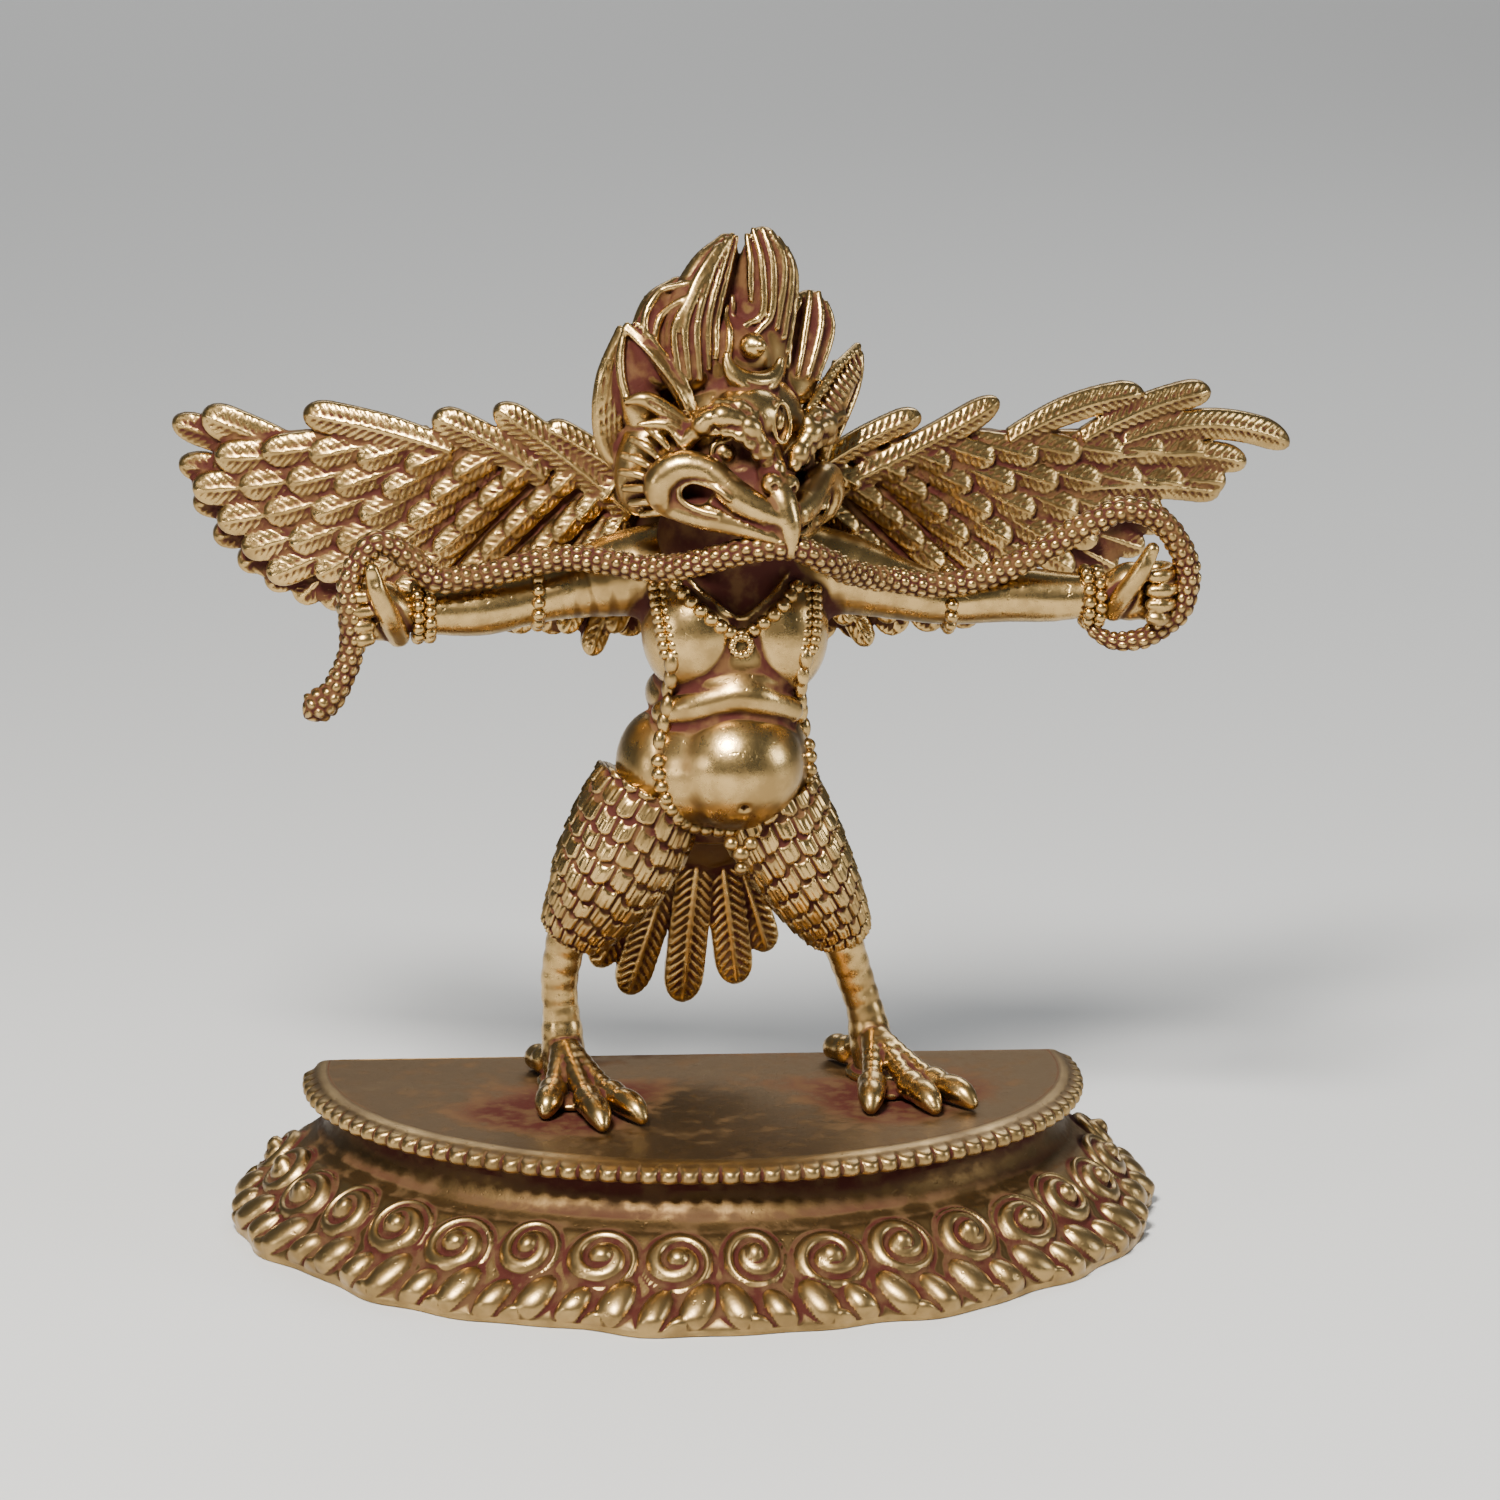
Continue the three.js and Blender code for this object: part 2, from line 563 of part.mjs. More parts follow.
function head() {
  const solids = [
    ellipsoid([0, 0.4, 0], [8.7, 8.9, 8.7], onHead, 9, 6),
    ellipsoid([0, 2, -5.2], [7.6, 7, 4.9], onHead, 7, 4),
    ellipsoid([0, -3.6, 4.5], [12.7, 5, 11.3], onHead, 8, 5),
    ellipsoid([0, 8.6, 3.4], [1.7, 1.3, 2.5], onHead, 6, 4),
    ellipsoid([0, 10.8, -1.9], [2.5, 2, 1.8], onHead, 6, 4),
    ellipsoid([0, 3.8, 10.9], [1.8, 2.6, 1.8], onHead, 6, 4),
    ...beak(),
  ];
  for (const side of [-1, 1]) {
    solids.push(
      ellipsoid([side * 7.8, 0.6, -3.4], [4.0, 5.6, 5.4], onHead, 7, 4),
      ellipsoid([side * 4.9, 6.7, -0.9], [1.5, 1.5, 1.3], onHead, 6, 4),
      limb([[side * 1.2, 9.6, 0.2, 1.2], [side * 3.6, 8.5, 2.1, 1.4], [side * 7.2, 4.6, 1.6, 1.0]], 4, onHead),
      lock([side * 8, 1.5, 2.6], [side * 12.2, 0.2, 6.6], [side * 15, -1.4, 11.6], 2.4, 1.0),
      lock([side * 10.6, -3, 10.5], [side * 14.2, -3.2, 3.0], [side * 11.2, -2.4, -5.5], 3.3, 1.8),
    );
  }
  const crescent = [-70, -35, 0, 35, 70].map((degrees, i) => {
    const angle = THREE.MathUtils.degToRad(degrees);
    const thick = 0.4 + 0.6 * (1 - Math.abs(i - 2) / 2);
    return [3.2 * Math.sin(angle), 5.2, 11.0 - 3.2 * Math.cos(angle), thick];
  });
  solids.push(
    limb(crescent, 4, onHead),
    lock([1.6, 1.8, 8], [2.6, 1.0, 16.5], [-1.4, 2.2, 23.7], 2.9, 2.4),
    lock([-3.6, 1.2, 8], [-6.0, 0.4, 15.4], [-3.2, 1.2, 22.8], 3.8, 2.4),
    lock([-7.8, -1.4, 7], [-10.8, -1.8, 12.8], [-7.6, -1.4, 18.4], 3.0, 1.8),
    lock([6.4, -1.4, 6], [8.2, -1.8, 12.2], [6.2, -1.4, 17.4], 2.4, 1.8),
  );
  return solids;
}

// The serpent's middle line, from its blunt head by the right hand to its thin tail by the left,
// with its half thickness.
const SERPENT = [
  [-44.9, -6.8, 46.5, 1.9], [-41.5, -6.8, 49.6, 1.5], [-39.7, -6.8, 53.6, 1.5], [-39.5, -7.2, 58, 1.5],
  [-39.4, -7, 62.3, 1.5], [-36.6, -6.4, 66, 1.5], [-32.9, -6, 64.2, 1.5], [-30.2, -5.6, 61.7, 1.5],
  [-25.5, -5.0, 61.6, 1.5], [-19.6, -5.0, 63.0, 1.5], [-13.5, -5.8, 63.6, 1.5], [-7, -8.4, 62.9, 1.5],
  [-1.4, -12.6, 64.2, 1.5], [3.8, -15.0, 66.1, 1.5], [8.6, -15.3, 66.2, 1.5], [12.4, -13.8, 64.4, 1.5],
  [16, -9.6, 62.0, 1.5], [20.5, -6.2, 60.4, 1.5], [26, -5.0, 59.4, 1.5], [32, -5.2, 60.3, 1.5],
  [38, -6.0, 63.1, 1.5], [43, -6.8, 66.2, 1.5], [47.4, -7.2, 67.9, 1.5], [51.6, -7.2, 66.3, 1.5],
  [54.4, -6.8, 61.6, 1.5], [54.2, -6.4, 56.6, 1.4], [50.8, -5.8, 53.2, 1.3], [46.6, -5.0, 52.3, 1.1],
  [43.2, -4.2, 54.4, 0.9],
];

function serpent() {
  return limb(SERPENT, 5);
}

// A point of the oval at an angle, spread outward by a share of the skirt's spread. The skirt
// draws in towards the back.
function onOval(angle, share, z, swell = 0) {
  const skew = THREE.MathUtils.degToRad(OVAL_SKEW);
  const draw = share * (1 - BACK_DRAW * THREE.MathUtils.clamp(Math.sin(angle) + 0.3, 0, 1));
  const u = (OVAL_HALF_WIDTH + SKIRT_SPREAD * draw + swell) * Math.cos(angle);
  const v = (OVAL_HALF_DEPTH + SKIRT_FRONT_SPREAD * draw + swell) * Math.sin(angle);
  const x = u * Math.cos(skew) - v * Math.sin(skew);
  const y = u * Math.sin(skew) + v * Math.cos(skew);
  return new THREE.Vector3(x, OVAL_CENTRE_Y + y, z);
}

function oval(count, share, z, swell = () => 0) {
  const ring = [];
  for (let i = 0; i < count; i++) {
    const angle = (2 * Math.PI * i) / count;
    ring.push(onOval(angle, share, z, swell(angle, i)));
  }
  return ring;
}

// Height and spread of the plinth's wall from the foot up, as shares.
const WALL = [[0, 1], [0.09, 0.96], [0.5, 0.22], [0.56, 0.02], [0.7, -0.12], [0.92, -0.2]];

// Carved skirt: height and spread between its foot (0) and the waist (1), lifted off by lift.
function onSkirt(angle, rise, lift) {
  const z = PLINTH_HEIGHT * THREE.MathUtils.lerp(0.09, 0.5, rise);
  const share = THREE.MathUtils.lerp(0.96, 0.22, rise);
  return onOval(angle, share, z + lift * 0.78, lift * 0.62);
}

// One boss of the skirt, an oval cushion of the given rings of size and lift.
function boss(angle, rise, radius, tall, sides, rings) {
  const slope = Math.hypot(SKIRT_FRONT_SPREAD * 0.74, PLINTH_HEIGHT * 0.41);
  const turn = radius / Math.hypot(
    OVAL_HALF_WIDTH * Math.sin(angle) * 1.14,
    OVAL_HALF_DEPTH * Math.cos(angle) * 1.2,
  );
  return loft(rings.map(([size, lift]) => {
    const ring = [];
    for (let k = 0; k < sides; k++) {
      const around = (2 * Math.PI * (k + 0.5)) / sides;
      const across = turn * size * Math.cos(around);
      const up = (radius * tall * size * Math.sin(around)) / slope;
      ring.push(onSkirt(angle + across, rise + up, lift));
    }
    return ring;
  }));
}

function plinth() {
  const crimp = (angle) => CRIMP_DEPTH * 0.5 * (Math.sin(angle * 11) + 0.7 * Math.sin(angle * 19 + 1));
  const body = WALL.map(([height, spread]) => {
    const swell = height < 0.2 ? crimp : undefined;
    return oval(32, spread, PLINTH_HEIGHT * height, swell);
  });
  const girth = Math.PI * (OVAL_HALF_WIDTH + OVAL_HALF_DEPTH);
  const beads = Math.round(girth / BEAD_PITCH);
  const bead = (angle, i) => BEAD_BULGE * (i % 2 ? 1 : 0.3);
  const neck = PLINTH_HEIGHT - RIM_HEIGHT;
  const rim = [
    oval(beads * 2, -0.1, neck),
    oval(beads * 2, 0, neck + RIM_HEIGHT * 0.45, bead),
    oval(beads * 2, -0.1, PLINTH_HEIGHT),
  ];
  const solids = [loft(body), loft(rim)];
  for (let i = 0; i < SCROLL_COUNT; i++) {
    const share = (i + 0.5) / SCROLL_COUNT;
    const angle = Math.PI * THREE.MathUtils.lerp(0.95, 2.05, share);
    solids.push(boss(angle, 0.66, SCROLL_RADIUS, 0.95, 6, [[1.05, -0.8], [0.8, 1.3]]));
    const next = angle + (0.55 * Math.PI) / SCROLL_COUNT;
    solids.push(boss(next, 0.2, SCROLL_RADIUS * 0.8, 1.1, 5, [[1.05, -0.8], [0.7, 1.1]]));
  }
  const backCut = new THREE.BoxGeometry(6 * OVAL_HALF_WIDTH, 4 * OVAL_HALF_DEPTH, 4 * PLINTH_HEIGHT);
  backCut.translate(0, PLINTH_BACK + 2 * OVAL_HALF_DEPTH, 0);
  const underCut = new THREE.BoxGeometry(6 * OVAL_HALF_WIDTH, 8 * OVAL_HALF_DEPTH, 2 * PLINTH_HEIGHT);
  underCut.translate(0, 0, -PLINTH_HEIGHT);
  return join(solids).subtract(toSolid(backCut)).subtract(toSolid(underCut));
}

function figure() {
  const whole = join([
    trunk(),
    ...beadStrings(),
    ...arms(),
    ...LEGS.flatMap(leg),
    tail(),
    ...WINGS.map(wing),
    ...head(),
    serpent(),
  ]);
  const underCut = new THREE.BoxGeometry(2 * FIGURE_HEIGHT, 2 * FIGURE_HEIGHT, 20);
  underCut.translate(0, 0, -10);
  return whole.subtract(toSolid(underCut));
}

const gilt = new THREE.MeshStandardMaterial({ color: 0xc79a4a, roughness: 0.36, metalness: 1 });
const darkGilt = new THREE.MeshStandardMaterial({ color: 0x9c7f45, roughness: 0.4, metalness: 1 });

const plinthMesh = new THREE.Mesh(toGeometry(plinth()), darkGilt);
plinthMesh.name = 'plinth';

const figureMesh = new THREE.Mesh(toGeometry(figure()), gilt);
figureMesh.name = 'garuda_figure';
figureMesh.position.z = PLINTH_HEIGHT + SEAT_GAP;

const garuda = new THREE.Group();
garuda.name = 'garuda';
garuda.add(plinthMesh, figureMesh);

export default garuda;
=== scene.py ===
"""Looks of a small gilt garuda on its plinth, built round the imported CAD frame.

The file is laid out as an add-on: each piece of the casting has an operator, and main()
runs them in order. The figure is measured in hundredths of its height above the plinth
("parts"), with x to the figure's left, y backwards and z up from the plinth's top.
"""

import math

import bpy
import numpy as np
from bpy.props import FloatProperty, FloatVectorProperty, IntProperty, PointerProperty
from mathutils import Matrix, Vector


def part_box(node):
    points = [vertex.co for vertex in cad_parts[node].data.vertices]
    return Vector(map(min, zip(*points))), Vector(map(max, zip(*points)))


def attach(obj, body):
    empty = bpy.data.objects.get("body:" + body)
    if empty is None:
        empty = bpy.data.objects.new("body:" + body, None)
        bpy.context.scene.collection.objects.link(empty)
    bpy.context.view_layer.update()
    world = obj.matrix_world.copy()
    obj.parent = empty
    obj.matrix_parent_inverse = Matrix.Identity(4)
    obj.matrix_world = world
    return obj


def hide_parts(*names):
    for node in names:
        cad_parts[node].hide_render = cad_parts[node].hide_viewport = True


bl_info = {
    "name": "Garuda figure",
    "version": (1, 0, 0),
    "blender": (4, 5, 0),
    "location": "View3D > Sidebar > Garuda",
    "description": "Builds a gilt garuda with its serpent and plinth",
    "category": "Object",
}

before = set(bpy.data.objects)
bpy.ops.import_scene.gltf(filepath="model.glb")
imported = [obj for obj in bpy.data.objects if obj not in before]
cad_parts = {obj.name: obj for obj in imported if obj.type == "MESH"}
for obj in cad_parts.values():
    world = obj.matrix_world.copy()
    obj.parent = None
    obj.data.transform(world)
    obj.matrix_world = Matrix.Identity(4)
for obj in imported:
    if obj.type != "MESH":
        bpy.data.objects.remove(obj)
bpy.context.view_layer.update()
FIGURE_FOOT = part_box("garuda_figure")[0][2]
PLINTH_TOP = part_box("plinth")[1][2]
MM = 0.001


def smoothstep(value, low, high):
    share = np.clip((value - low) / (high - low), 0, 1)
    return share * share * (3 - 2 * share)


def curve_through(points, count):
    """A smooth curve of count points through the given points, each of any width."""
    points = np.array(points, float)
    ends = np.vstack([2 * points[0] - points[1], points, 2 * points[-1] - points[-2]])
    at = np.linspace(0, len(points) - 1, count)
    i = np.minimum(at.astype(int), len(points) - 2)
    t = (at - i)[:, None]
    a, b, c, d = (ends[i + k] for k in range(4))
    return 0.5 * (
        2 * b + (c - a) * t + (2 * a - 5 * b + 4 * c - d) * t**2 + (3 * b - a - 3 * c + d) * t**3
    )


def melt(a, b, blend):
    """The nearer of two distances, with a soft join of the given width."""
    if blend <= 0:
        return np.minimum(a, b)
    share = np.clip(0.5 + 0.5 * (a - b) / blend, 0, 1)
    return a + (b - a) * share - blend * share * (1 - share)


class Form:
    """A closed form: a signed distance, and the corners of the box that holds it."""

    def __init__(self, distance, low, high):
        self.distance = distance
        self.low = np.array(low, float)
        self.high = np.array(high, float)


def ball(centre, radii):
    c = np.array(centre, float)
    r = np.array(radii, float) * np.ones(3)

    def distance(x, y, z):
        dx, dy, dz = (x - c[0]) / r[0], (y - c[1]) / r[1], (z - c[2]) / r[2]
        near = np.sqrt(dx * dx + dy * dy + dz * dz)
        slope = np.sqrt((dx / r[0]) ** 2 + (dy / r[1]) ** 2 + (dz / r[2]) ** 2)
        return near * (near - 1) / np.maximum(slope, 1e-4)

    return Form(distance, c - r, c + r)


def rope(points, radii, squash=(1, 1, 1)):
    """A round rod through the points. squash stretches its section along an axis when below 1."""
    scale = np.array(squash, float)
    p = np.array(points, float) * scale
    r = np.array(radii, float) * np.ones(len(p))

    def distance(x, y, z):
        x, y, z = x * scale[0], y * scale[1], z * scale[2]
        nearest = None
        for a, b, ra, rb in zip(p[:-1], p[1:], r[:-1], r[1:]):
            run = b - a
            length = max(float(run @ run), 1e-9)
            dx, dy, dz = x - a[0], y - a[1], z - a[2]
            t = np.clip((dx * run[0] + dy * run[1] + dz * run[2]) / length, 0, 1)
            gap = np.sqrt(
                (dx - run[0] * t) ** 2 + (dy - run[1] * t) ** 2 + (dz - run[2] * t) ** 2
            ) - (ra + (rb - ra) * t)
            nearest = gap if nearest is None else np.minimum(nearest, gap)
        return nearest

    low = (p - r[:, None]).min(0) / scale
    high = (p + r[:, None]).max(0) / scale
    return Form(distance, low, high)


class Clay:
    """A block of space in even steps. Forms are added and cut, then the skin is drawn off."""

    FAR = 9.0

    def __init__(self, low, high, step):
        self.low = np.array(low, float)
        self.step = np.array(step, float) * np.ones(3)
        self.count = np.ceil((np.array(high) - self.low) / self.step).astype(int) + 1
        self.field = np.full(self.count, self.FAR, np.float32)

    def _window(self, form, blend):
        grow = blend + 2 * self.step
        first = np.floor((form.low - grow - self.low) / self.step).astype(int)
        last = np.ceil((form.high + grow - self.low) / self.step).astype(int) + 1
        first, last = np.clip(first, 0, self.count), np.clip(last, 0, self.count)
        axes = [
            (self.low[i] + self.step[i] * np.arange(first[i], last[i])).astype(np.float32)
            for i in range(3)
        ]
        return tuple(slice(a, b) for a, b in zip(first, last)), np.meshgrid(
            *axes, indexing="ij", sparse=True
        )

    def add(self, form, blend=0.0):
        window, (x, y, z) = self._window(form, blend)
        if x.size and y.size and z.size:
            made = form.distance(x, y, z)
            self.field[window] = melt(self.field[window], made, blend)

    def cut(self, form, blend=0.0):
        window, (x, y, z) = self._window(form, blend)
        if x.size and y.size and z.size:
            made = form.distance(x, y, z)
            self.field[window] = -melt(-self.field[window], made, blend)

    def front(self, x, z):
        """How far forward (-y) the clay reaches at x and z."""
        i = int(round((x - self.low[0]) / self.step[0]))
        k = int(round((z - self.low[2]) / self.step[2]))
        column = self.field[i, :, k]
        inside = np.nonzero(column < 0)[0]
        if not len(inside) or inside[0] == 0:
            return None
        j = inside[0]
        share = column[j - 1] / (column[j - 1] - column[j])
        return self.low[1] + self.step[1] * (j - 1 + share)

    def skin(self):
        """The zero surface as points and quads, one point for each cell that it crosses."""
        field = self.field
        inside = field < 0
        corners = [(i, j, k) for i in (0, 1) for j in (0, 1) for k in (0, 1)]
        shape = np.array(field.shape) - 1
        total = sum(
            inside[i : i + shape[0], j : j + shape[1], k : k + shape[2]].astype(np.int8)
            for i, j, k in corners
        )
        cells = np.argwhere((total > 0) & (total < 8))
        number = np.full(shape, -1, np.int32)
        number[tuple(cells.T)] = np.arange(len(cells))
        values = {c: field[tuple((cells + c).T)] for c in corners}
        place = np.zeros((len(cells), 3))
        hits = np.zeros(len(cells))
        for a in corners:
            for axis in range(3):
                if a[axis]:
                    continue
                b = tuple(v + (i == axis) for i, v in enumerate(a))
                crossed = (values[a] < 0) != (values[b] < 0)
                share = values[a] / np.where(crossed, values[a] - values[b], 1)
                point = np.array(a, float) + np.zeros((len(cells), 3))
                point[:, axis] += share
                place[crossed] += point[crossed]
                hits += crossed
        points = self.low + self.step * (cells + place / hits[:, None])
        quads = []
        for axis in range(3):
            u, v = (axis + 1) % 3, (axis + 2) % 3
            span = [slice(1, n - 1) for n in field.shape]
            ahead = list(span)
            span[axis] = slice(0, field.shape[axis] - 1)
            ahead[axis] = slice(1, field.shape[axis])
            here, there = inside[tuple(span)], inside[tuple(ahead)]
            at = np.argwhere(here != there) + [0 if i == axis else 1 for i in range(3)]
            back_u, back_v = np.eye(3, dtype=int)[u], np.eye(3, dtype=int)[v]
            ring = [at - back_u - back_v, at - back_v, at, at - back_u]
            quad = np.stack([number[tuple(c.T)] for c in ring], 1)
            outward = inside[tuple(at.T)]
            quad[~outward] = quad[~outward][:, ::-1]
            quads.append(quad)
        return points, np.vstack(quads)


def signed_volume(points, quads):
    a, b, c, d = (points[quads[:, i]] for i in range(4))
    return float(np.sum(np.einsum("ij,ij->i", a, np.cross(b, c) + np.cross(c, d))))


def run_along(line):
    """How far along a line each of its points lies."""
    return np.concatenate([[0], np.cumsum(np.linalg.norm(np.diff(line, axis=0), axis=1))])


def ring_quads(rows, around):
    """Quads between rows of points, where each row is a closed ring."""
    i, j = np.meshgrid(np.arange(rows - 1), np.arange(around), indexing="ij")
    k = (j + 1) % around
    corners = [i * around + j, i * around + k, (i + 1) * around + k, (i + 1) * around + j]
    return np.stack(corners, -1).reshape(-1, 4)


def tube_quads(rows, around):
    """Ring quads, closed by a cap of quads over each end."""
    c = np.arange(around // 2 - 1)
    cap = np.stack([c, c + 1, around - 2 - c, around - 1 - c], 1)
    return np.vstack([ring_quads(rows, around), cap[:, ::-1], cap + (rows - 1) * around])


def swept(line, wide, deep, turn):
    """Rings of points round a line: wide to its side and deep to its front."""
    along = np.gradient(line[:, :3], axis=0)
    along /= np.linalg.norm(along, axis=1, keepdims=True)
    side = np.cross(along, (0, 1, 0))
    side /= np.linalg.norm(side, axis=1, keepdims=True)
    fore = np.cross(side, along)
    return (
        line[:, None, :3]
        + side[:, None] * (wide * np.cos(turn))[..., None]
        + fore[:, None] * (deep * np.sin(turn))[..., None]
    )


def point_normals(points, quads):
    a, b, c, d = (points[quads[:, i]] for i in range(4))
    face = np.cross(c - a, d - b)
    total = np.zeros_like(points)
    for i in range(4):
        for axis in range(3):
            total[:, axis] += np.bincount(quads[:, i], face[:, axis], len(points))
    return total / np.maximum(np.linalg.norm(total, axis=1, keepdims=True), 1e-12)


def hollow_of(points, quads, fine=5, wide=28):
    """How far each point lies below its softened surroundings, in the points' own unit.

    Two widths are mixed, so that both grooves and deeper pockets count. Ridges are negative.
    Faces that look down count as lower, which paints shade on their undersides.
    """
    fine_share, wide_share, under = 1.7, 0.35, 0.04 * MM
    ends = [(quads[:, i], quads[:, (i + 1) % 4]) for i in range(4)]
    starts = np.concatenate([a for a, _ in ends] + [b for _, b in ends])
    stops = np.concatenate([b for _, b in ends] + [a for a, _ in ends])
    count = np.maximum(np.bincount(starts, minlength=len(points)), 1)
    normals = point_normals(points, quads)
    soft = points.copy()
    kept = []
    for turn in range(1, wide + 1):
        soft = np.stack(
            [np.bincount(starts, soft[stops, axis], len(points)) / count for axis in range(3)], 1
        )
        if turn in (fine, wide):
            kept.append(np.einsum("ij,ij->i", soft - points, normals))
    # under is painted shade: faces that look down take more of the tarnish colour.
    below = np.clip(-normals[:, 2], 0, 1)
    return kept[0] * fine_share + kept[1] * wide_share + under * below


def figure_place(points):
    """Points in parts of the figure to metres in the frame."""
    unit = bpy.context.scene.garuda_sizes.figure_height / 100
    return np.array(points) * unit + (0, 0, FIGURE_FOOT)


def show(name, points, quads, hollow, material, slot, replaced=()):
    """Makes one piece of the casting. hollow, in millimetres, is depth below the surroundings plus painted
    shade.
    """
    if signed_volume(points, quads) < 0:
        quads = quads[:, ::-1]
    mesh = bpy.data.meshes.new(name)
    mesh.from_pydata(points.tolist(), [], quads.tolist())
    mesh.polygons.foreach_set("use_smooth", np.ones(len(quads), bool))
    mesh.attributes.new("hollow", "FLOAT", "POINT").data.foreach_set(
        "value", np.asarray(hollow, np.float32)
    )
    mesh.validate()
    piece = bpy.data.objects.new(name, mesh)
    bpy.context.scene.collection.objects.link(piece)
    mesh.materials.append(material)
    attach(piece, "root")
    if replaced:
        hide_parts(*replaced)
    return piece


def show_clay(name, clay, warp=None, extra=None, **words):
    """Draws the skin off clay that is laid out in parts, bends it by warp, and shows it."""
    points, quads = clay.skin()
    flat = points
    if warp is not None:
        points = warp(points)
    points = figure_place(points)
    if signed_volume(points, quads) < 0:
        quads = quads[:, ::-1]
    hollow = hollow_of(points, quads) / MM
    if extra is not None:
        hollow = hollow + extra(flat)
    return show(name, points, quads, hollow, gilt(), "gilt", **words)


def patina_group():
    """The metal's surface: gilding, random brown tarnish, that brown as painted shade, and red patina in
    hollows.
    """
    name = "gilding_patina_and_shade"
    if name in bpy.data.node_groups:
        return bpy.data.node_groups[name]
    group = bpy.data.node_groups.new(name, "ShaderNodeTree")
    face = group.interface
    for label, kind, start in [
        ("Hollow", "NodeSocketFloat", 0.0),
        ("Position", "NodeSocketVector", (0, 0, 0)),
        ("Metal", "NodeSocketColor", (0.6, 0.4, 0.2, 1)),
        ("Tarnish And Shade", "NodeSocketColor", (0.3, 0.2, 0.1, 1)),
        ("Patina", "NodeSocketColor", (0.2, 0.05, 0.04, 1)),
        ("Patina Start", "NodeSocketFloat", 0.02),
        ("Patina End", "NodeSocketFloat", 0.14),
        ("Tarnish Amount", "NodeSocketFloat", 0.4),
        ("Polish", "NodeSocketFloat", 0.3),
    ]:
        face.new_socket(name=label, in_out="INPUT", socket_type=kind).default_value = start
    for label, kind in [
        ("Colour", "NodeSocketColor"),
        ("Roughness", "NodeSocketFloat"),
        ("Metallic", "NodeSocketFloat"),
        ("Height", "NodeSocketFloat"),
    ]:
        face.new_socket(name=label, in_out="OUTPUT", socket_type=kind)
    nodes, links = group.nodes, group.links
    given = nodes.new("NodeGroupInput")
    result = nodes.new("NodeGroupOutput")

    def noise(scale, detail, rough=0.55):
        node = nodes.new("ShaderNodeTexNoise")
        node.inputs["Scale"].default_value = scale
        node.inputs["Detail"].default_value = detail
        node.inputs["Roughness"].default_value = rough
        links.new(given.outputs["Position"], node.inputs["Vector"])
        return node.outputs["Fac"]

    def sum_of(kind, a, b, c=None):
        node = nodes.new("ShaderNodeMath")
        node.operation = kind
        for socket, value in zip(node.inputs, (a, b, c)):
            if value is None:
                continue
            if isinstance(value, (int, float)):
                socket.default_value = value
            else:
                links.new(value, socket)
        return node.outputs[0]

    def ramp(value, low, high, to_low=0.0, to_high=1.0):
        node = nodes.new("ShaderNodeMapRange")
        node.interpolation_type = "SMOOTHSTEP"
        for label, entry in zip(
            ("Value", "From Min", "From Max", "To Min", "To Max"), (value, low, high, to_low, to_high)
        ):
            if isinstance(entry, (int, float)):
                node.inputs[label].default_value = entry
            else:
                links.new(entry, node.inputs[label])
        return node.outputs[0]

    def mix(share, a, b):
        node = nodes.new("ShaderNodeMix")
        node.data_type = "RGBA"
        links.new(share, node.inputs["Factor"])
        links.new(a, node.inputs["A"])
        links.new(b, node.inputs["B"])
        return node.outputs["Result"]

    broad = noise(120, 3)
    cloud = noise(420, 4)
    grain = noise(2600, 3)
    spots = noise(1500, 2, 0.4)
    dirty = sum_of("MULTIPLY_ADD", sum_of("SUBTRACT", cloud, 0.5), 0.16, given.outputs["Hollow"])
    patina = ramp(dirty, given.outputs["Patina Start"], given.outputs["Patina End"])
    # Painted shade: the hollow attribute lays the tarnish colour into mild hollows and on faces that look
    # down.
    lowered = sum_of("MULTIPLY_ADD", sum_of("SUBTRACT", broad, 0.5), 0.2, given.outputs["Hollow"])
    painted_shade = ramp(lowered, -0.09, 0.03)
    dull = sum_of("MULTIPLY", ramp(sum_of("ADD", broad, cloud), 0.75, 1.25), 0.55)
    # dull takes the painted shade wherever it is stronger than the random tarnish.
    dull = sum_of("MULTIPLY", sum_of("MAXIMUM", dull, painted_shade), given.outputs["Tarnish Amount"])
    colour = mix(dull, given.outputs["Metal"], given.outputs["Tarnish And Shade"])
    mottle = ramp(cloud, 0.42, 0.66, 0.0, 0.6)
    colour = mix(patina, colour, mix(mottle, given.outputs["Patina"], given.outputs["Tarnish And Shade"]))
    links.new(colour, result.inputs["Colour"])
    worn = sum_of("MULTIPLY_ADD", dull, 0.16, given.outputs["Polish"])
    worn = sum_of("MULTIPLY_ADD", sum_of("SUBTRACT", grain, 0.5), 0.12, worn)
    links.new(sum_of("MULTIPLY_ADD", patina, 0.4, worn), result.inputs["Roughness"])
    links.new(ramp(patina, 0.0, 1.0, 1.0, 0.05), result.inputs["Metallic"])
    pits = ramp(spots, 0.27, 0.34)
    height = sum_of("MULTIPLY_ADD", grain, 0.35, sum_of("MULTIPLY", pits, 0.5))
    links.new(sum_of("MULTIPLY_ADD", cloud, 0.6, height), result.inputs["Height"])
    return group


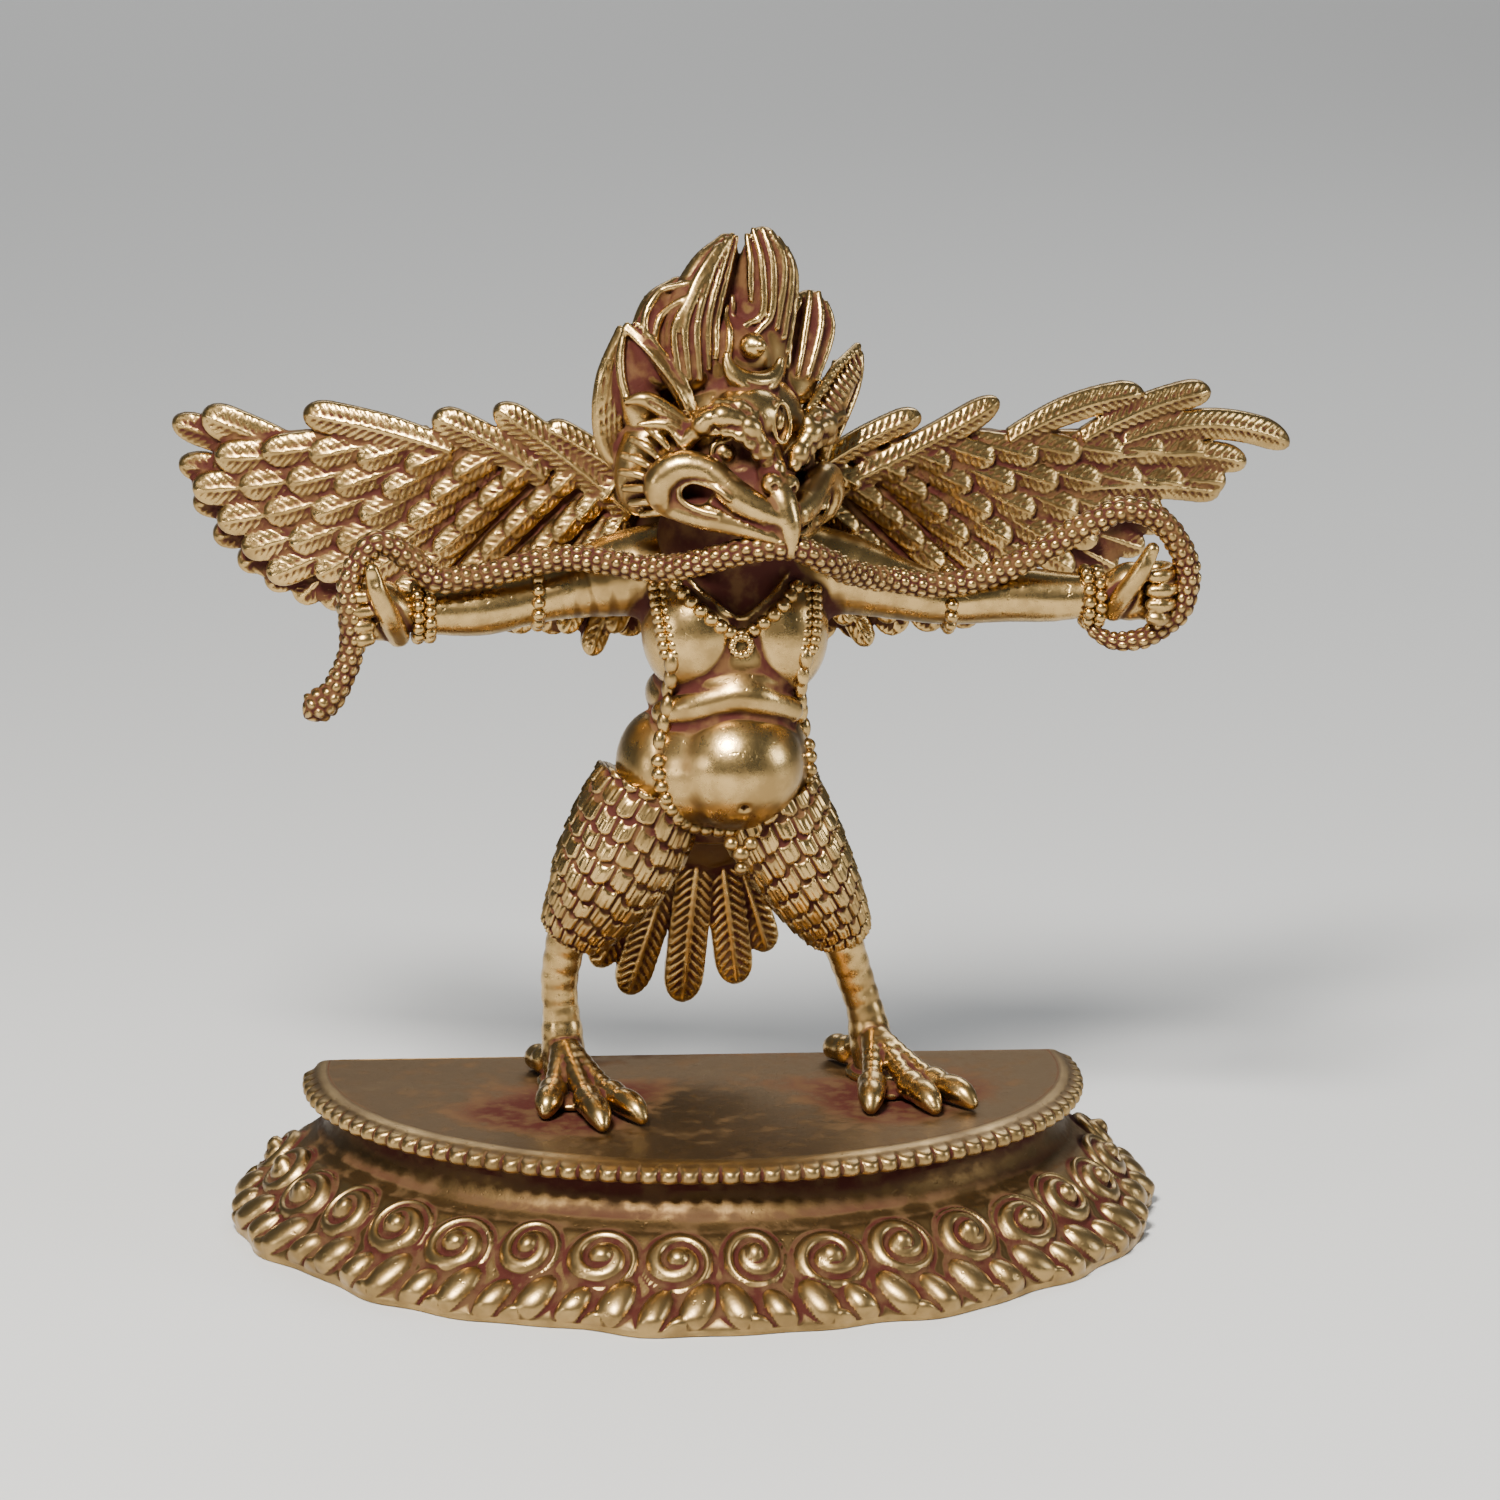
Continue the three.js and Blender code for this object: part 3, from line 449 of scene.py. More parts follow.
def metal(name, base, tarnish_and_shade, patina, tarnish_and_shade_amount, polish, patina_span, bump):
    """A worn gilt metal that reads each piece's own hollow attribute, for its patina and its painted shade.
    """
    if name in bpy.data.materials:
        return bpy.data.materials[name]
    material = bpy.data.materials.new(name)
    material.use_nodes = True
    nodes, links = material.node_tree.nodes, material.node_tree.links
    shader = nodes["Principled BSDF"]
    shader.inputs["Specular IOR Level"].default_value = 0.15
    hollow = nodes.new("ShaderNodeAttribute")
    hollow.attribute_name = "hollow"
    place = nodes.new("ShaderNodeTexCoord")
    finish = nodes.new("ShaderNodeGroup")
    finish.node_tree = patina_group()
    links.new(hollow.outputs["Fac"], finish.inputs["Hollow"])
    links.new(place.outputs["Object"], finish.inputs["Position"])
    finish.inputs["Metal"].default_value = (*base, 1)
    finish.inputs["Tarnish And Shade"].default_value = (*tarnish_and_shade, 1)
    finish.inputs["Patina"].default_value = (*patina, 1)
    finish.inputs["Tarnish Amount"].default_value = tarnish_and_shade_amount
    finish.inputs["Polish"].default_value = polish
    finish.inputs["Patina Start"].default_value = patina_span[0]
    finish.inputs["Patina End"].default_value = patina_span[1]
    raised = nodes.new("ShaderNodeBump")
    raised.inputs["Strength"].default_value = bump
    raised.inputs["Distance"].default_value = 0.00006
    links.new(finish.outputs["Height"], raised.inputs["Height"])
    links.new(raised.outputs["Normal"], shader.inputs["Normal"])
    links.new(finish.outputs["Colour"], shader.inputs["Base Color"])
    links.new(finish.outputs["Roughness"], shader.inputs["Roughness"])
    links.new(finish.outputs["Metallic"], shader.inputs["Metallic"])
    return material


def gilt():
    look = bpy.context.scene.garuda_finish
    # The tarnish colour of both materials is also their painted shade.
    return metal(
        "worn_gilding_and_shade", look.gilding, look.tarnish_and_shade, look.patina, 0.9, look.polish, (0.015, 0.095), 0.5
    )


def dark_gilt():
    look = bpy.context.scene.garuda_finish
    return metal(
        "plinth_bronze_and_shade", look.plinth_metal, look.plinth_tarnish_and_shade, look.patina, 0.9,
        look.polish + 0.08, (0.04, 0.13), 0.7,
    )


# The trunk's rows: height, centre x and y, half width, depth in front and behind.
TRUNK = [
    (29, 1.6, 1.5, 3.0, 2.5, 3.5),
    (31.5, 1.6, 0.9, 8.0, 5.4, 6.5),
    (34, 1.8, -0.3, 10.0, 8.4, 7.8),
    (38, 2.1, -0.9, 10.5, 9.6, 8.0),
    (42, 2.4, -0.8, 9.6, 8.8, 7.5),
    (45, 2.8, -0.3, 7.7, 7.2, 6.8),
    (47.5, 3.2, -0.3, 8.2, 7.6, 6.8),
    (49.5, 3.5, 0, 8.6, 7.6, 6.8),
    (53, 4.0, 0, 10.1, 7.4, 7.0),
    (57, 4.2, 0.5, 11.1, 6.6, 7.0),
    (60.5, 4.5, 1.0, 11.2, 5.2, 6.5),
    (63.5, 4.8, 0.8, 8.5, 4.6, 5.5),
    (67, 4.8, 0, 5.8, 5.0, 5.4),
    (71, 4.4, -1, 5.6, 5.2, 5.6),
]

ARMS = {
    "right": [(-3, 1.2, 61, 5.2), (-9, 0.4, 60.3, 4.7), (-15, -0.3, 59, 3.4), (-19, -0.8, 58.1, 2.9),
              (-24, -1.3, 57.4, 3.2), (-28, -1.8, 57.2, 2.9), (-32, -2.6, 57.3, 2.3), (-35, -3.4, 57.6, 2.3)],
    "left": [(11, 1.2, 60.6, 5.2), (17, 0.4, 59.6, 4.5), (24, -0.5, 57.6, 3.3), (28.5, -1.0, 56.8, 2.9),
             (35, -1.8, 57.4, 3.2), (40, -2.4, 57.1, 2.9), (45.2, -3.2, 57.3, 2.3), (48, -3.6, 57.6, 2.3)],
}
HANDS = {"right": (-35.8, 57.8, -1), "left": (48.6, 57.8, 1)}

# Rings of beads on the arms: arm, x, y, z of the middle, ring radius, and rows.
ARM_RINGS = [
    ("right", -18.4, -0.7, 58.2, 3.2, 1),
    ("right", -31.3, -2.4, 57.2, 2.9, 2),
    ("left", 28.2, -1.0, 56.8, 3.3, 1),
    ("left", 44.3, -3.0, 57.1, 3.0, 2),
]

LEGS = [
    {
        "thigh": [(-5.5, -0.5, 35.5, 6.4, 7.4), (-7.4, -0.8, 32, 6.8, 7.2), (-9.0, -0.9, 28.7, 6.7, 6.8),
                  (-10.6, -0.7, 25.6, 6.2, 6.2), (-12.0, -0.1, 22.8, 5.4, 5.4), (-13.5, 0.8, 20.2, 4.4, 4.6),
                  (-14.4, 1.6, 18.2, 3.7, 3.9)],
        "shank": [(-14.6, 1.9, 20, 2.5), (-15.9, 2.4, 13, 2.2), (-15.8, 2.3, 8.8, 2.15),
                  (-15.7, 2.0, 6, 2.45), (-15.6, 1.4, 3, 2.5), (-15.6, 0.8, 1.2, 2.2)],
        "toes": [(-18.9, -11.4), (-12.8, -17.0), (-8.0, -14.8)],
        "spur": (-18.6, 8.6),
    },
    {
        "thigh": [(7.6, -0.3, 34, 6.2, 7.2), (9.2, -0.6, 30.6, 6.1, 6.9), (10.9, -0.7, 27.4, 5.8, 6.4),
                  (12.6, -0.5, 24.4, 5.3, 5.8), (14.2, 0.1, 21.6, 4.6, 5.0), (15.6, 0.9, 18.9, 3.8, 4.2),
                  (16.2, 1.5, 16.8, 3.3, 3.6)],
        "shank": [(16.0, 1.6, 18.5, 2.5), (18.4, 2.3, 11.2, 2.2), (19.4, 2.2, 8, 2.15),
                  (19.9, 1.9, 5.4, 2.45), (20.2, 1.2, 2.8, 2.5), (20.3, 0.6, 1.2, 2.2)],
        "toes": [(17.8, -14.2), (25.2, -15.3), (29.8, -13.8)],
        "spur": (16.2, 8.4),
    },
]

# Strings of beads laid on the trunk: a V necklace, and one down each side to a pendant.
BEAD_STRINGS = [
    [(-3.6, 60.6), (-0.5, 57.6), (3.8, 54.6), (7.4, 56.8), (10.6, 59.8)],
    [(-5.2, 60.6), (-4.6, 55.5), (-3.8, 50.5), (-4.3, 45.5), (-5.4, 40), (-4.4, 35.6), (-1.6, 32.4),
     (4.0, 31.2)],
    [(12.2, 59.8), (11.8, 54.5), (10.9, 50), (11.2, 45), (12.2, 40), (11.8, 36), (9.4, 32.8), (4.4, 31.2)],
]


def trunk_form():
    rows = np.array(TRUNK)
    heights = np.linspace(rows[0, 0], rows[-1, 0], 120)
    table = np.stack([np.interp(heights, rows[:, 0], rows[:, c]) for c in range(1, 6)], 1)
    soft = np.ones(9) / 9
    padded = np.pad(table, ((4, 4), (0, 0)), mode="edge")
    table = np.stack([np.convolve(padded[:, c], soft, "valid") for c in range(5)], 1)

    def distance(x, y, z):
        cx, cy, half, front, back = (np.interp(z, heights, table[:, c]) for c in range(5))
        dx, dy = x - cx, y - cy
        depth = np.where(dy < 0, front, back)
        round_it = np.sqrt((dx / half) ** 2 + (dy / depth) ** 2)
        side = (round_it - 1) * np.minimum(half, depth)
        return np.maximum(side, np.maximum(rows[0, 0] - z, z - rows[-1, 0]))

    return Form(distance, (-12, -13, 27), (18, 9, 71))


def ringed(stations, pitch, proud, count):
    """A limb whose thickness swells in rings, as a bird's scaled shank and toes do."""
    line = curve_through(stations, count)
    run = run_along(line[:, :3])
    wave = np.abs(np.sin(math.pi * run / pitch)) ** 0.6
    return rope(line[:, :3], line[:, 3] - proud * (1 - wave))


def shape_foot(clay, leg):
    x, y = leg["shank"][-1][:2]
    clay.add(ringed(leg["shank"], 2.1, 0.34, 70), 0.1)
    for i, (tip_x, tip_y) in enumerate([*leg["toes"], leg["spur"]]):
        start_y = y + (1 if i == 3 else 0)

        def along(t, z, r):
            return (x + (tip_x - x) * t, start_y + (tip_y - start_y) * t, z, r)

        toe = [along(0.02, 5.0, 1.6), along(0.25, 3.7, 1.35), along(0.45, 2.6, 1.25), along(0.62, 1.9, 1.35)]
        clay.add(ringed(toe, 1.5, 0.4, 60), 0.12)
        clay.add(rope([along(0.6, 1.9, 0)[:3], along(0.65, 1.8, 0)[:3]], [1.75, 1.65]), 0.06)
        claw = curve_through([along(0.66, 1.7, 1.35), along(0.78, 1.85, 1.6), along(0.89, 1.6, 1.4),
                              along(0.97, 0.9, 0.8)], 12)
        clay.add(rope(claw[:, :3], np.maximum(claw[:, 3], 0.5)), 0.05)
    for a, b in zip(leg["toes"], leg["toes"][1:]):
        middle = (x + ((a[0] + b[0]) / 2 - x) * 0.42, y + ((a[1] + b[1]) / 2 - y) * 0.42, 0.55)
        clay.add(ball(middle, (2.2, 3.4, 0.8)), 0.5)
    clay.add(ball((x, y + 1, 0.4), (3.2, 4.0, 1.0)), 0.4)


THUMBS = {
    -1: [(-34.2, -4.4, 55.0, 1.3), (-35.3, -7.0, 57.6, 1.3), (-36.6, -8.5, 60.8, 1.15),
         (-37.3, -8.7, 63.6, 0.8)],
    1: [(46.6, -4.6, 55.8, 1.3), (47.4, -7.0, 58.2, 1.25), (49.0, -8.4, 61.2, 1.1), (50.2, -8.6, 63.6, 0.8)],
}


def shape_hand(clay, x, z, side):
    clay.add(ball((x, -4, z), (3.1, 2.6, 3.4)), 1.0)
    for level, reach in zip((2.7, 0.9, -0.9, -2.6), (0.9, 1.0, 0.95, 0.8)):
        finger = [
            (x + side * 0.6, -4.4, z + level * 0.8),
            (x + side * 3.6 * reach, -4.7, z + level),
            (x + side * 4.6 * reach, -6.2, z + level),
            (x + side * 3.4 * reach, -7.7, z + level * 0.95),
            (x + side * 1.8, -7.6, z + level * 0.9),
        ]
        clay.add(rope(curve_through(finger, 12), np.linspace(1.0, 0.78, 12)), 0.12)
    thumb = curve_through(THUMBS[side], 14)
    clay.add(rope(thumb[:, :3], thumb[:, 3]), 0.2)
    nail = thumb[-2]
    clay.cut(ball((nail[0], nail[1] - 0.95, nail[2] - 0.3), (0.62, 0.3, 0.95)), 0.06)


def shape_trunk(clay):
    clay.add(trunk_form())
    clay.add(ball((3.6, -4.2, 39.0), (7.8, 7.4, 7.4)), 0.3)
    clay.add(ball((-4.6, -0.6, 38.2), (5.0, 6.6, 6.6)), 0.3)
    clay.add(ball((-3.6, 1.4, 46.2), (2.4, 4.4, 2.6)), 0.5)
    roll = [(-4.4, -4.0, 45.2, 1.5), (-1.5, -5.7, 46.2, 2.0), (1.8, -6.5, 47.3, 2.1), (3.9, -6.8, 47.7, 2.1),
            (6.2, -6.5, 47.1, 2.05), (9.8, -4.6, 45.3, 1.5)]
    line = curve_through(roll, 20)
    clay.add(rope(line[:, :3], line[:, 3]), 0.5)
    clay.add(ball((3.6, -3.6, 48.8), (6.8, 4.5, 3.3)), 0.3)
    clay.add(ball((-0.9, -2.4, 54.2), (5.9, 5.9, 7.2)), 0.12)
    clay.add(ball((8.9, -2.2, 53.8), (5.5, 5.8, 7.2)), 0.12)
    clay.cut(ball((3.8, -12.4, 61.4), (8.2, 7.4, 5.6)), 0.5)
    clay.cut(ball((3.9, -11.3, 35.6), (0.5, 1.6, 0.4)), 0.15)
    clay.add(rope([(4.6, 1.0, 62), (4.0, -2.0, 70)], [6.4, 6.0]), 2.0)
    border = [(-2.6, 0, 61.6), (0.6, 0, 58.6), (3.9, 0, 56.4), (6.8, 0, 58.2), (9.6, 0, 61.0)]
    line = curve_through(border, 26)
    line[:, 1] = [clay.front(p[0], p[2]) or -6 for p in line]
    clay.add(rope(line, 0.38), 0.1)


class GARUDA_OT_body(bpy.types.Operator):
    """Trunk, arms, hands, shanks and feet, as one smooth casting"""

    bl_idname = "garuda.body"
    bl_label = "Body"

    def execute(self, context):
        step = context.scene.garuda_sizes.body_step
        clay = Clay((-44, -19.5, -0.4), (57, 11, 73), step)
        shape_trunk(clay)
        for name, stations in ARMS.items():
            line = curve_through(stations, 22)
            clay.add(rope(line[:, :3], line[:, 3]), 1.6)
            shape_hand(clay, *HANDS[name])
        for leg in LEGS:
            shape_foot(clay, leg)
        clay.field[:, :, 0] = np.maximum(clay.field[:, :, 0], 0.2)
        bead_ground(clay)
        show_clay("garuda_body", clay, extra=self.patina_and_shade, replaced=("garuda_figure",))
        return {"FINISHED"}

    @staticmethod
    def patina_and_shade(points):
        """Darker low between the toes and in the fork of the legs; below the beak, painted shadow over
        patina.
        """
        low = smoothstep(points[:, 2], 1.6, 0.4) * 0.16
        x, y, z = points.T
        # pocket: painted shadow that the head casts on the chest.
        pocket = smoothstep(np.hypot((x - 3.8) / 7.5, (z - 61.6) / 5.2), 1.1, 0.6) * (y < 0)
        groin = smoothstep(z, 32.6, 30.5) * smoothstep(np.abs(x - 2), 7, 4) * smoothstep(z, 24, 27)
        return low + 0.2 * pocket + 0.14 * groin


# The beads found on the body, each as x, y, z, radius and stretch along z.
BEADS = []


def bead_ground(clay):
    """Finds where each bead of the strings rests on the trunk, and keeps it in BEADS."""
    BEADS.clear()
    sizes = bpy.context.scene.garuda_sizes
    radius = sizes.bead_radius / sizes.figure_height * 100
    for number, string in enumerate(BEAD_STRINGS):
        line = curve_through([(x, 0, z) for x, z in string], 240)
        y = np.array([clay.front(p[0], p[2]) or 0 for p in line])
        line[:, 1] = np.convolve(np.pad(y, 6, mode="edge"), np.ones(13) / 13, "valid")
        run = run_along(line)
        at = radius
        while at < run[-1]:
            x, y, z = (np.interp(at, run, line[:, i]) for i in range(3))
            if number and z > 52.5:
                for shift in (-0.55, 0.55):
                    BEADS.append((x + shift, y + 0.1, z, 0.62 * radius * 1.4, 1.0))
                at += 1.25 * radius
            elif number and z > 42:
                BEADS.append((x, y, z, 1.05 * radius, 1.7))
                at += 2.9 * radius
            else:
                BEADS.append((x, y, z, 1.08 * radius, 1.0))
                at += 1.85 * radius
    x, y, z, wide = 3.9, (clay.front(3.9, 54.3) or -8) - 0.6, 53.5, 1.05
    for angle in np.arange(12) * 2 * math.pi / 12:
        BEADS.append((x + wide * math.cos(angle), y, z + wide * math.sin(angle), 0.46, 1.0))
    for dx, dz, r in [(-1.1, 31.2, 0.85), (1.1, 31.1, 0.85), (0, 30.0, 1.0), (0, 28.3, 0.75)]:
        BEADS.append((3.6 + dx, -9.4, dz, r, 1.0))
    for _, cx, cy, cz, ring, rows in ARM_RINGS:
        count = 14
        for row in range(rows):
            for turn in range(count):
                angle = 2 * math.pi * (turn + 0.5 * row) / count
                offset = (row - (rows - 1) / 2) * 1.3
                y, z = cy + ring * math.cos(angle), cz + ring * math.sin(angle)
                BEADS.append((cx + offset, y, z, 0.74, 1.0))


class GARUDA_OT_beads(bpy.types.Operator):
    """Bead strings of the necklace, chest and arms, as closed drops"""

    bl_idname = "garuda.beads"
    bl_label = "Beads"

    def execute(self, context):
        if not BEADS:
            raise RuntimeError("the body is built first, as the beads lie on it")
        around, rows = 12, 8
        angle = np.arange(around) * 2 * math.pi / around
        fall = (np.arange(rows) + 0.5) * math.pi / rows
        ring = (np.cos(angle), np.sin(angle), np.ones(around))
        reach = (np.sin(fall), np.sin(fall), np.cos(fall))
        grid = np.stack([np.outer(r, c) for r, c in zip(reach, ring)], -1).reshape(-1, 3)
        one = tube_quads(rows, around)
        points = np.vstack([np.array(b[:3]) + grid * b[3] * np.array((1.05, 1.0, b[4])) for b in BEADS])
        quads = np.vstack([one + n * len(grid) for n in range(len(BEADS))])
        # Painted shade on the back half of each bead, where it lies against the body.
        behind = np.tile(smoothstep(grid[:, 1], -0.35, 0.35), len(BEADS))
        show("bead_strings", figure_place(points), quads, behind * 0.2 - 0.06, gilt(), "gilt")
        return {"FINISHED"}


class GARUDA_OT_thighs(bpy.types.Operator):
    """Thighs with their quilted scale feathers"""

    bl_idname = "garuda.thighs"
    bl_label = "Thighs"

    def execute(self, context):
        around, rows, tiers = 168, 120, 9
        points, quads, hollow = [], [], []
        for n, leg in enumerate(LEGS):
            line = curve_through(leg["thigh"], rows)
            v = np.linspace(0, 1, rows)[:, None]
            a = np.arange(around)[None, :] * 2 * math.pi / around
            sway = 0.6 * np.sin(a - 0.6 + 2.6 * n) + 0.2 * np.sin(3 * a + n) + 0.1 * np.sin(7 * a)
            tier = v * tiers + sway
            row = np.floor(tier)
            down = tier - row
            columns = 17
            across = a / (2 * math.pi) * columns + 0.5 * (row % 2) + 0.13 * np.sin(row * 2.7)
            cell = across - np.floor(across)
            off = 2 * cell - 1
            down = down + 0.3 * (off**2 - 0.35)
            edge = np.clip(1 - np.abs(off), 0, 1)
            plate = smoothstep(edge, 0.0, 0.34) * smoothstep(down, -0.02, 0.2) * smoothstep(1 - down, 0, 0.16)
            seed = np.sin(np.floor(across) * 12.9 + row * 7.3)
            rim = np.exp(-(((edge - 0.34) / 0.13) ** 2)) * 0.3
            rib = 0.24 * np.exp(-((off / 0.16) ** 2)) * smoothstep(down, 0.15, 0.4)
            lift = plate * (0.36 + 0.3 * down + 0.1 * seed + rim + rib)
            closing = smoothstep(v, 0.985, 0.955)
            wide = line[:, 3:4] * 0.97 + lift * closing * 0.8
            deep = line[:, 4:5] * 0.97 + lift * closing * 0.8
            ends = np.minimum(1, np.sqrt(np.clip((1 - v) / 0.035, 0.01, 1)))
            points.append(swept(line, wide * ends, deep * ends, a).reshape(-1, 3))
            hollow.append((0.34 - lift * 1.1).reshape(-1) * 0.75)
            quads.append(tube_quads(rows, around) + n * rows * around)
        show("thigh_feathers", figure_place(np.vstack(points)), np.vstack(quads), np.concatenate(hollow),
             gilt(), "gilt")
        return {"FINISHED"}


# The head's middle, and how far it is turned to the figure's left and tipped.
HEAD_MIDDLE = (3.7, -4, 76.4)
HEAD_TURN = math.radians(25)
HEAD_TILT = math.radians(9.9)


def head_to_figure(points):
    """Points of the head's clay to parts of the figure: the head is tipped, then turned."""
    left, ahead, up = points[:, 0], -points[:, 1], points[:, 2]
    over = left * math.cos(HEAD_TILT) + up * math.sin(HEAD_TILT)
    rise = up * math.cos(HEAD_TILT) - left * math.sin(HEAD_TILT)
    x = HEAD_MIDDLE[0] + over * math.cos(HEAD_TURN) + ahead * math.sin(HEAD_TURN)
    y = HEAD_MIDDLE[1] + over * math.sin(HEAD_TURN) - ahead * math.cos(HEAD_TURN)
    return np.stack([x, y, HEAD_MIDDLE[2] + rise], 1)


def on_head(points):
    """Points given as (left, forward, up) to the head clay's own x, y, z."""
    return [(p[0], -p[1], p[2], *p[3:]) for p in points]


# How wide the head's left half is against its right half.
RIGHT_SIDE = 0.86


def across(points, share=RIGHT_SIDE):
    """The same points on the head's other side, which is a little narrower."""
    return [(-share * p[0], *p[1:]) for p in points]


def head_ball(left, forward, up, radii):
    return ball((left, -forward, up), radii)


def head_rope(points, count=20, squash=(1, 1, 1)):
    """A rod through left, forward, up and radius."""
    line = curve_through(on_head(points), count)
    return rope(line[:, :3], np.maximum(line[:, 3], 0.15), squash)


def laid(clay, points, thick, proud=0.1, count=22, taper=0.5):
    """A strand that lies on the clay's front: only left and up are kept where there is clay."""
    line = curve_through(on_head(points), count)
    found = [clay.front(p[0], p[2]) for p in line]
    known = [i for i, y in enumerate(found) if y is not None and abs(y - line[i, 1]) < 2.6]
    if len(known) > 2:
        shift = np.interp(range(count), known, [found[i] - line[i, 1] for i in known])
        shift = np.convolve(np.pad(shift, 2, mode="edge"), np.ones(5) / 5, "valid")
        line[:, 1] += shift - proud
    t = np.linspace(0, 1, count)
    body = taper + (1 - taper) * np.sin(math.pi * np.clip(t * 0.86 + 0.1, 0, 1)) ** 0.6
    return rope(line, thick * body)


def lay_all(clay, strands, thick, blend=0.06, proud=0.1):
    made = [laid(clay, points, thick, proud) for points in strands]
    for form in made:
        clay.add(form, blend)


def shape_skull(clay):
    clay.add(head_ball(-1.5, -4.6, 4.5, (12.6, 3.9, 11.2)))
    clay.add(head_ball(-0.6, 0.2, 0, (8.4, 8.4, 8.6)), 0.8)
    clay.add(head_ball(-0.6, 2, -5.6, (7.6, 6.8, 4.3)), 1.5)
    clay.add(head_ball(-2.4, 1.2, 8.4, (5.4, 3.0, 5.4)), 0.8)
    clay.add(head_ball(-2.3, 5.2, 3.3, (4.2, 4.1, 3.5)), 0.4)
    clay.add(rope([(0, 1, -4), (0, 3, -11.5)], [5.4, 5.6]), 1.5)
    clay.add(head_ball(-8.4, 1.6, -4.4, (3.6, 4.4, 4.2)), 0.6)
    clay.add(head_ball(7.0, 1.6, -4.2, (3.0, 4.2, 4.0)), 0.6)
    clay.add(head_ball(-10.6, -1.2, -3.6, (3.4, 3.4, 6.0)), 0.4)
    clay.add(head_ball(8.8, -1.2, -3.6, (2.4, 3.4, 5.6)), 0.4)


EYE = (-5.4, 7.0, -0.9)
BROWS = [
    ([(-9.6, 4.6, -0.4), (-8.9, 6.0, 1.4), (-8.5, 7.2, 2.8), (-6.6, 8.4, 3.3), (-4.2, 9.2, 2.3),
      (-2.7, 9.6, 0.4), (-1.9, 10.0, -1.3)], 1.12, 0.2, 31),
    ([(-9.2, 5.4, 2.6), (-7.4, 7.2, 4.4), (-4.9, 8.4, 4.4), (-3.4, 9.0, 3.0)], 0.62, 0.16, 23),
    ([(-8.0, 6.6, 1.2), (-6.4, 8.6, 1.6), (-4.6, 9.4, 0.9), (-3.2, 9.7, -0.6)], 0.6, 0.14, 27),
]


def shape_face(clay):
    for side in (-1, 1):
        wide = 1 if side < 0 else RIGHT_SIDE
        left, forward, up = EYE[0] * -side * wide, EYE[1], EYE[2]
        clay.cut(head_ball(left, forward + 1.7, up, (3.3, 2.7, 1.9)), 0.5)
        clay.add(head_ball(left, forward - 0.7, up, (1.25, 1.25, 1.2)), 0.1)
        ring = [(left + 1.75 * wide * math.cos(a), forward - 0.2 - 0.25 * abs(math.cos(a)),
                 up + (0.2 if math.sin(a) > 0 else 0) + 1.2 * math.sin(a), 0.34)
                for a in np.linspace(0, 2 * math.pi, 22)]
        clay.add(rope([(p[0], -p[1], p[2]) for p in ring], 0.34), 0.12)
        clay.cut(head_ball(left, forward + 0.75, up, (0.36, 0.4, 0.36)), 0.06)
        for points, thick, lump, beat in BROWS:
            line = curve_through(on_head(points if side < 0 else across(points)), 40)
            t = np.linspace(0, 1, 40)
            body = thick * (0.75 + 0.25 * np.sin(math.pi * t)) + lump * np.sin(t * beat) * 0.8
            clay.add(rope(line, body + 0.1 * np.sin(t * beat * 1.9 + 1)), 0.15)
    rim = [(-0.15 + 1.1 * math.sin(a) - 0.2 * math.cos(a), 8.95 - 0.3 * math.cos(a), 3.2 + 2.2 * math.cos(a))
           for a in np.linspace(0, 2 * math.pi, 30)]
    clay.cut(head_ball(-0.15, 9.5, 3.2, (0.85, 1.2, 1.8)), 0.08)
    clay.add(rope(on_head(rim), 0.3), 0.1)
    clay.add(head_ball(-0.15, 8.45, 3.2, (0.5, 0.75, 1.1)), 0.04)


CHEEK = [(-9.6, 4.2, -8.0, 1.0), (-11.6, 4.4, -6.6, 1.5), (-11.9, 4.7, -4.6, 1.8), (-10.4, 5.8, -2.9, 1.8),
         (-7.9, 7.6, -2.9, 1.6), (-5.5, 9.4, -4.9, 1.75), (-3.0, 11.0, -6.2, 1.6), (-0.8, 12.2, -7.0, 1.1)]
JAW = [(-10.2, 4.4, -7.6, 1.2), (-7.8, 6.9, -8.1, 1.35), (-5.0, 9.3, -8.3, 1.3), (-2.6, 11.0, -8.7, 1.1),
       (-0.6, 12.1, -9.3, 0.8)]
SLIT = [(-8.6, 8.0, -5.6, 0.85), (-7.0, 8.9, -6.3, 0.46), (-5.2, 10.2, -7.3, 0.32), (-3.2, 11.7, -8.0, 0.27),
        (-1.0, 13.2, -8.9, 0.25)]
LIP = [(-7.0, 7.8, -7.5), (-8.6, 7.0, -7.3), (-10.0, 6.4, -6.6), (-10.4, 6.4, -5.5), (-9.5, 7.2, -4.3),
       (-7.9, 8.4, -4.5), (-6.6, 9.2, -5.5)]


